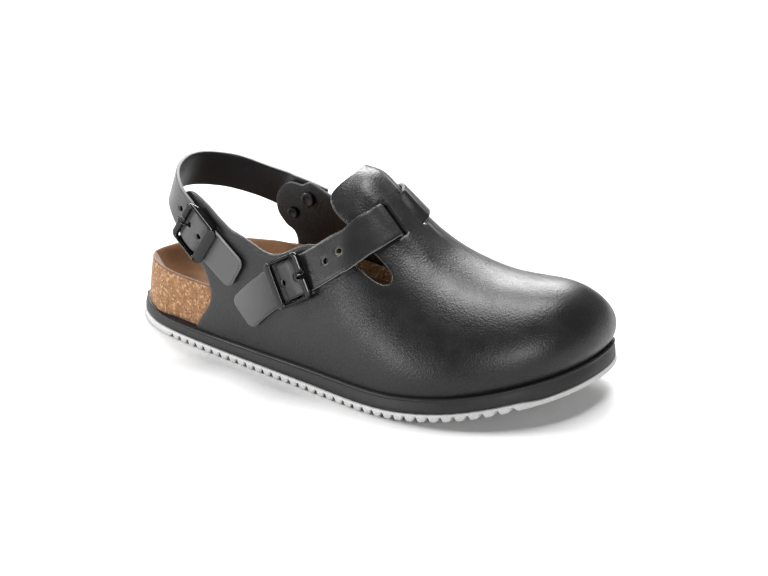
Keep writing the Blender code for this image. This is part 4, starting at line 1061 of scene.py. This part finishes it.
def heel_frame(run):
    """Point, direction, side direction and normal of the heel strap at a running length."""
    point, tangent = read(HEEL, HEEL_RUN, run), unit(read(HEEL_TANGENT, HEEL_RUN, run))
    normal = read(HEEL_NORMAL, HEEL_RUN, run)
    normal = unit(normal - tangent * (normal * tangent).sum(-1, keepdims=True))
    return point, tangent, np.cross(normal, tangent), normal


def heel_place(points, level):
    """Strap points on the heel line's own frames, a little wider at the medial joint."""
    run = points[:, 0] + AT_HEEL_BUCKLE
    point, _, across, normal = heel_frame(run)
    widening = 1.0 + JOINT_WIDENING * smoothstep((run - HEEL_RUN[-1] + 0.045) / 0.030)
    lift = ON_BRANCH + buckle_lift(points[:, 0]) + level
    return point + across * (points[:, 1] * widening)[:, None] + normal * np.asarray(lift)[:, None]


def punched(shares):
    """Places and radius of the holes punched along a strap."""
    return [(share * HOLE_PITCH, 0.0, PIN_HOLE) for share in shares]


instep_ahead, heel_ahead = LINE_RUN[-1] - AT_BUCKLE, HEEL_RUN[-1] - AT_HEEL_BUCKLE
points, faces, inside = strap_sheet(AT_BUCKLE, instep_ahead, punched(INSTEP_HOLES), instep_place)
# Painted highlight: the instep strap is painted paler from its tail up to a place ahead.
painted_highlight = 1.0 - smoothstep((points[:, 0] - TAIL_HIGHLIGHT_TO) / TAIL_FADE)
instep_strap = new_piece("instep_strap_leather", points, faces, STRAP_LEATHER, "instep_strap", inside, painted_highlight)
points, faces, inside = strap_sheet(AT_HEEL_BUCKLE, heel_ahead, punched(HEEL_HOLES), heel_place)
# Painted highlight: the heel strap is painted paler towards one side of its width.
painted_highlight = 0.8 * smoothstep((HEEL_HIGHLIGHT_TO - points[:, 1]) / HEEL_FADE)
heel_strap = new_piece("heel_strap_leather", points, faces, STRAP_LEATHER, "heel_strap", inside, painted_highlight)

# %% [markdown]
# ## Buckles, prongs and rivets
#
# A buckle could be cast and lacquered: two low rails, a raised front bar with a notch for
# the prong, and a broad sloping plate at the back. Its section is a small rounded box that
# is carried round two loops, an outer and an inner one. The prong and the centre bar are
# round wires, and a rivet is a turned profile.

# %% Buckle frame
RAIL, BAR, PLATE, BAR_THICK, CENTRE_BAR, PRONG = 0.0017, 0.0035, 0.0060, 0.0024, 0.0010, 0.00065
LOW_RAIL, LOW_BAR, NOTCH = 0.0007, 0.0042, 0.0007
# Section of the frame: 0 outer or 1 inner loop, inset in rounds, 0 low or 1 high, drop in rounds
ROUND = 0.0007
SECTION = ((0, 0.0, 0, 1.0), (0, 0.0, 1, 1.0), (0, 0.10, 1, 0.55), (0, 0.35, 1, 0.20), (0, 1.0, 1, 0.0),
           (1, 1.0, 1, 0.0), (1, 0.35, 1, 0.20), (1, 0.10, 1, 0.55), (1, 0.0, 1, 1.0), (1, 0.0, 0, 1.0),
           (1, 0.6, 0, 0.0), (0, 0.6, 0, 0.0))


def rounded_rectangle(back, front, half, corner):
    """Loop of a rounded rectangle with the same count of points whatever its size."""
    arcs = corner_arcs(back, front, half, corner, 9)
    rails = np.stack([np.linspace(0.34, -0.34, 11) * BUCKLE_LENGTH, np.full(11, half)], 1)
    bar = np.stack([np.full(25, front), np.linspace(-0.85, 0.85, 25) * (half - corner)], 1)
    plate = np.stack([np.full(13, back), np.linspace(0.85, -0.85, 13) * (half - corner)], 1)
    return np.vstack([arcs[0], rails, arcs[1], plate, arcs[2], rails[::-1] * [1, -1], arcs[3], bar])


def build_buckle(name, node, place):
    """The section carried round both loops, with a bar across the middle."""
    half = BUCKLE_LENGTH / 2
    outer = rounded_rectangle(-half, half, BUCKLE_WIDTH / 2, 0.0035)
    inner = rounded_rectangle(-half + PLATE, half - BAR, BUCKLE_WIDTH / 2 - RAIL, 0.0012)
    toward = unit(inner - outer)
    along = np.abs(outer[:, 0])
    ends = smoothstep((along - 0.30 * BUCKLE_LENGTH) / (0.10 * BUCKLE_LENGTH))
    low = LOW_RAIL + (LOW_BAR - LOW_RAIL) * ends
    notch = NOTCH * np.exp(-(outer[:, 1] / 0.0017) ** 4) * (outer[:, 0] > 0)
    loops = []
    for which, inset, high, drop in SECTION:
        plan = (inner - toward * inset * ROUND) if which else (outer + toward * inset * ROUND)
        slope = 0.0014 * smoothstep((along - half + BAR) / BAR) * (outer[:, 0] < 0) * (which == 0)
        level = LOW_BAR + BAR_THICK - slope - notch - drop * ROUND if high else low + drop * 0.4 * ROUND
        loops.append(np.concatenate([plan, level[:, None]], 1))
    points, faces = loft(loops, closed=True)
    reach = BUCKLE_WIDTH / 2 - RAIL / 2
    rod, rod_faces = tube(np.array([(0.0, y, CENTRE_BAR + GAP) for y in np.linspace(-reach, reach, 5)]),
                          np.full(5, CENTRE_BAR), 16)
    faces += [tuple(i + len(points) for i in face) for face in rod_faces]
    return new_piece(name, place(np.vstack([points, rod])), faces, LACQUER, node)


def tube(line, radii, count):
    """Round wire: circles across the tangent of a line, closed at both ends."""
    tangent = unit(np.gradient(line, axis=0))
    helper = [[0.3, 0.5, 1.0]] if abs(tangent[0, 1]) > 0.5 else [[0.0, 1.0, 0.0]]
    first = unit(np.cross(tangent, helper))
    second = np.cross(tangent, first)
    angle = (np.arange(count) * 2 * np.pi / count)[:, None]
    cosine, sine = np.cos(angle), np.sin(angle)
    points, faces = loft([p + (cosine * a + sine * b) * r for p, a, b, r in zip(line, first, second, radii)])
    faces += [tuple(range(count))[::-1], tuple(range((len(line) - 1) * count, len(line) * count))]
    return points, faces


# %% Buckles and prongs in place
# Share of BUCKLE_LENGTH along the strap, height share of BAR_THICK
PRONG_LINE = ((0.078, 0.48), (0.19, 0.50), (0.225, 0.80), (0.245, 1.60), (0.27, 2.70), (0.33, 3.16),
              (0.44, 3.17), (0.53, 2.95))


def frame_place(origin, tangent, across, normal):
    """Function that moves a buckle's own points to its place on the strap."""
    def place(points):
        return origin + points[:, :1] * tangent + points[:, 1:2] * across + points[:, 2:] * normal
    return place


def instep_frame():
    """Point and axes of the instep strap at its buckle."""
    row, ahead, behind = (read(LINE, LINE_RUN, np.array([AT_BUCKLE + step])) for step in (0.0, 0.004, -0.004))
    normal = normal_at(*row.T)[0]
    tangent = (arch(*ahead.T) - arch(*behind.T))[0]
    tangent = unit(tangent - normal * (tangent @ normal))
    return arch(*row.T)[0], tangent, np.cross(normal, tangent), normal


def build_prong(name, node, place):
    """Wire that comes up through its hole and lies over the front bar."""
    rows = spline(PRONG_LINE, 5)
    line = np.stack([rows[:, 0] * BUCKLE_LENGTH, rows[:, 0] * 0, rows[:, 1] * BAR_THICK], 1)
    taper = np.sqrt(np.clip(1 - np.clip((rows[:, 0] - 0.47) / 0.065, 0, 1) ** 2, 0.08, 1.0))
    points, faces = tube(line, PRONG * taper, 14)
    return new_piece(name, place(points), faces, LACQUER, node)


instep_origin = frame_place(*instep_frame())
heel_origin = frame_place(*(vector[0] for vector in heel_frame(np.array([AT_HEEL_BUCKLE]))))
for name, place in (("instep", instep_origin), ("heel", heel_origin)):
    build_buckle(name + "_buckle_frame", name + "_buckle", place)
    build_prong(name + "_prong_wire", name + "_prong", place)


# %% Rivets
def nearest_rows(point):
    """Share and turn of the last's point nearest to a point: a coarse search, then Newton steps."""
    shares, turns = np.meshgrid(np.linspace(0.1, 0.5, 41), np.linspace(1.5, 1.95, 46))
    near = np.linalg.norm(arch(shares, turns) - point, axis=-1).argmin()
    rows = np.array([shares.ravel()[near], turns.ravel()[near]])
    for _ in range(6):
        along, over = slopes(rows[:1], rows[1:])
        rest = point - arch(rows[0], rows[1])
        rows = rows + np.linalg.lstsq(np.stack([along[0], over[0]], 1), rest, rcond=None)[0]
    return rows


def build_rivet(name, node, back, across, head):
    """Turned profile: flat-rimmed head inside, shank, and a domed head outside."""
    spot = heel_place(np.array([[heel_ahead - back * LENGTH, across * LENGTH]]), 0.0)[0]
    rows = nearest_rows(spot)
    foot, axis = arch(*rows), normal_at(rows[:1], rows[1:])[0]
    over, under = ON_BRANCH + STRAP + 0.0007, -(WALL + 0.0007)
    profile = [(radius, under - deep) for radius, deep in RIVET_INNER]
    profile += [(0.35, under), (0.35, over)] + [(radius, over + tall) for radius, tall in RIVET_OUTER]
    side = unit(np.cross(axis, [1.0, 0.0, 0.0]))
    angle = (np.arange(32) * np.pi / 16)[:, None]
    spokes = np.cos(angle) * side + np.sin(angle) * np.cross(axis, side)
    points, faces = loft([foot + spokes * (radius * head) + axis * height for radius, height in profile])
    return new_piece(name, points, faces, DARK_METAL, node)


for (name, node), spot in zip((("upper_rivet", "rivet_high"), ("lower_rivet", "rivet_low")), RIVET_SPOTS):
    build_rivet(name, node, *spot)

# %% [markdown]
# ## Floor, light and camera
#
# A wide pale floor fills the picture. Black leather shows what it mirrors, so each softbox
# has its own patch of it: the one behind lights the tongue and the ridge, the one above the
# vamp, and three weaker ones the straps, the wall of the toe and the low flank. The camera
# looks from the toe's lateral side, 22 degrees above the floor.

# %% Floor
FLOOR_HALF = 6.0
PAPER = moulded("paper", (0.62, 0.62, 0.62), (0.64, 0.64, 0.64), 0.9, 0.003, 0.02, IOR=1.3)
floor_mesh = bpy.data.meshes.new("floor")
corners = [(x * FLOOR_HALF, y * FLOOR_HALF, 0.0) for x, y in ((-1, -1), (1, -1), (1, 1), (-1, 1))]
floor_mesh.from_pydata(corners, [], [(0, 1, 2, 3)])
floor = bpy.data.objects.new("floor", floor_mesh)
bpy.context.scene.collection.objects.link(floor)
floor_mesh.materials.append(PAPER)


# %% Lights
# Name, place, width and height, watts
SOFTBOXES = (
    ("back_box", (-0.70, 1.20, 0.88), (1.25, 0.44), 36.0),
    ("heel_box", (-1.42, -0.60, 0.80), (0.60, 0.36), 31.0),
    ("top_box", (0.07, 0.45, 1.85), (1.00, 0.80), 50.0),
    ("toe_box", (1.14, -0.86, 0.54), (0.45, 0.36), 11.0),
    ("low_box", (-0.62, -1.42, 0.13), (0.60, 0.16), 8.5),
)
SHOE_CENTRE = Vector((0.0, 0.0, 0.04))


def softbox(name, place, size, power):
    """Rectangular area light that faces the shoe."""
    light = bpy.data.lights.new(name, 'AREA')
    light.shape = 'RECTANGLE'
    light.size, light.size_y = size
    light.energy = power
    lamp = bpy.data.objects.new(name, light)
    lamp.location = place
    lamp.rotation_euler = (SHOE_CENTRE - Vector(place)).to_track_quat('-Z', 'Y').to_euler()
    bpy.context.scene.collection.objects.link(lamp)


for row in SOFTBOXES:
    softbox(*row)
world = bpy.data.worlds.new("studio")
world.use_nodes = True
world.node_tree.nodes["Background"].inputs["Color"].default_value = (1.0, 1.0, 1.0, 1.0)
world.node_tree.nodes["Background"].inputs["Strength"].default_value = 0.12
bpy.context.scene.world = world
bpy.context.scene.view_settings.view_transform = 'Standard'

# %% Camera
AZIMUTH, ELEVATION, DISTANCE = np.radians(30.0), np.radians(22.0), 1.2
AIM = np.array((0.0, 0.0, 0.045))
level = np.cos(ELEVATION)
back = np.array((np.sin(AZIMUTH) * level, -np.cos(AZIMUTH) * level, np.sin(ELEVATION)))
lens = bpy.data.cameras.new("camera")
lens.sensor_width, lens.lens = 36.0, 105.8
lens.shift_x, lens.shift_y = 0.0433, -0.0058
camera = bpy.data.objects.new("camera", lens)
camera.location = AIM + back * DISTANCE
camera.rotation_euler = Vector(-back).to_track_quat('-Z', 'Y').to_euler()
bpy.context.scene.collection.objects.link(camera)
bpy.context.scene.camera = camera
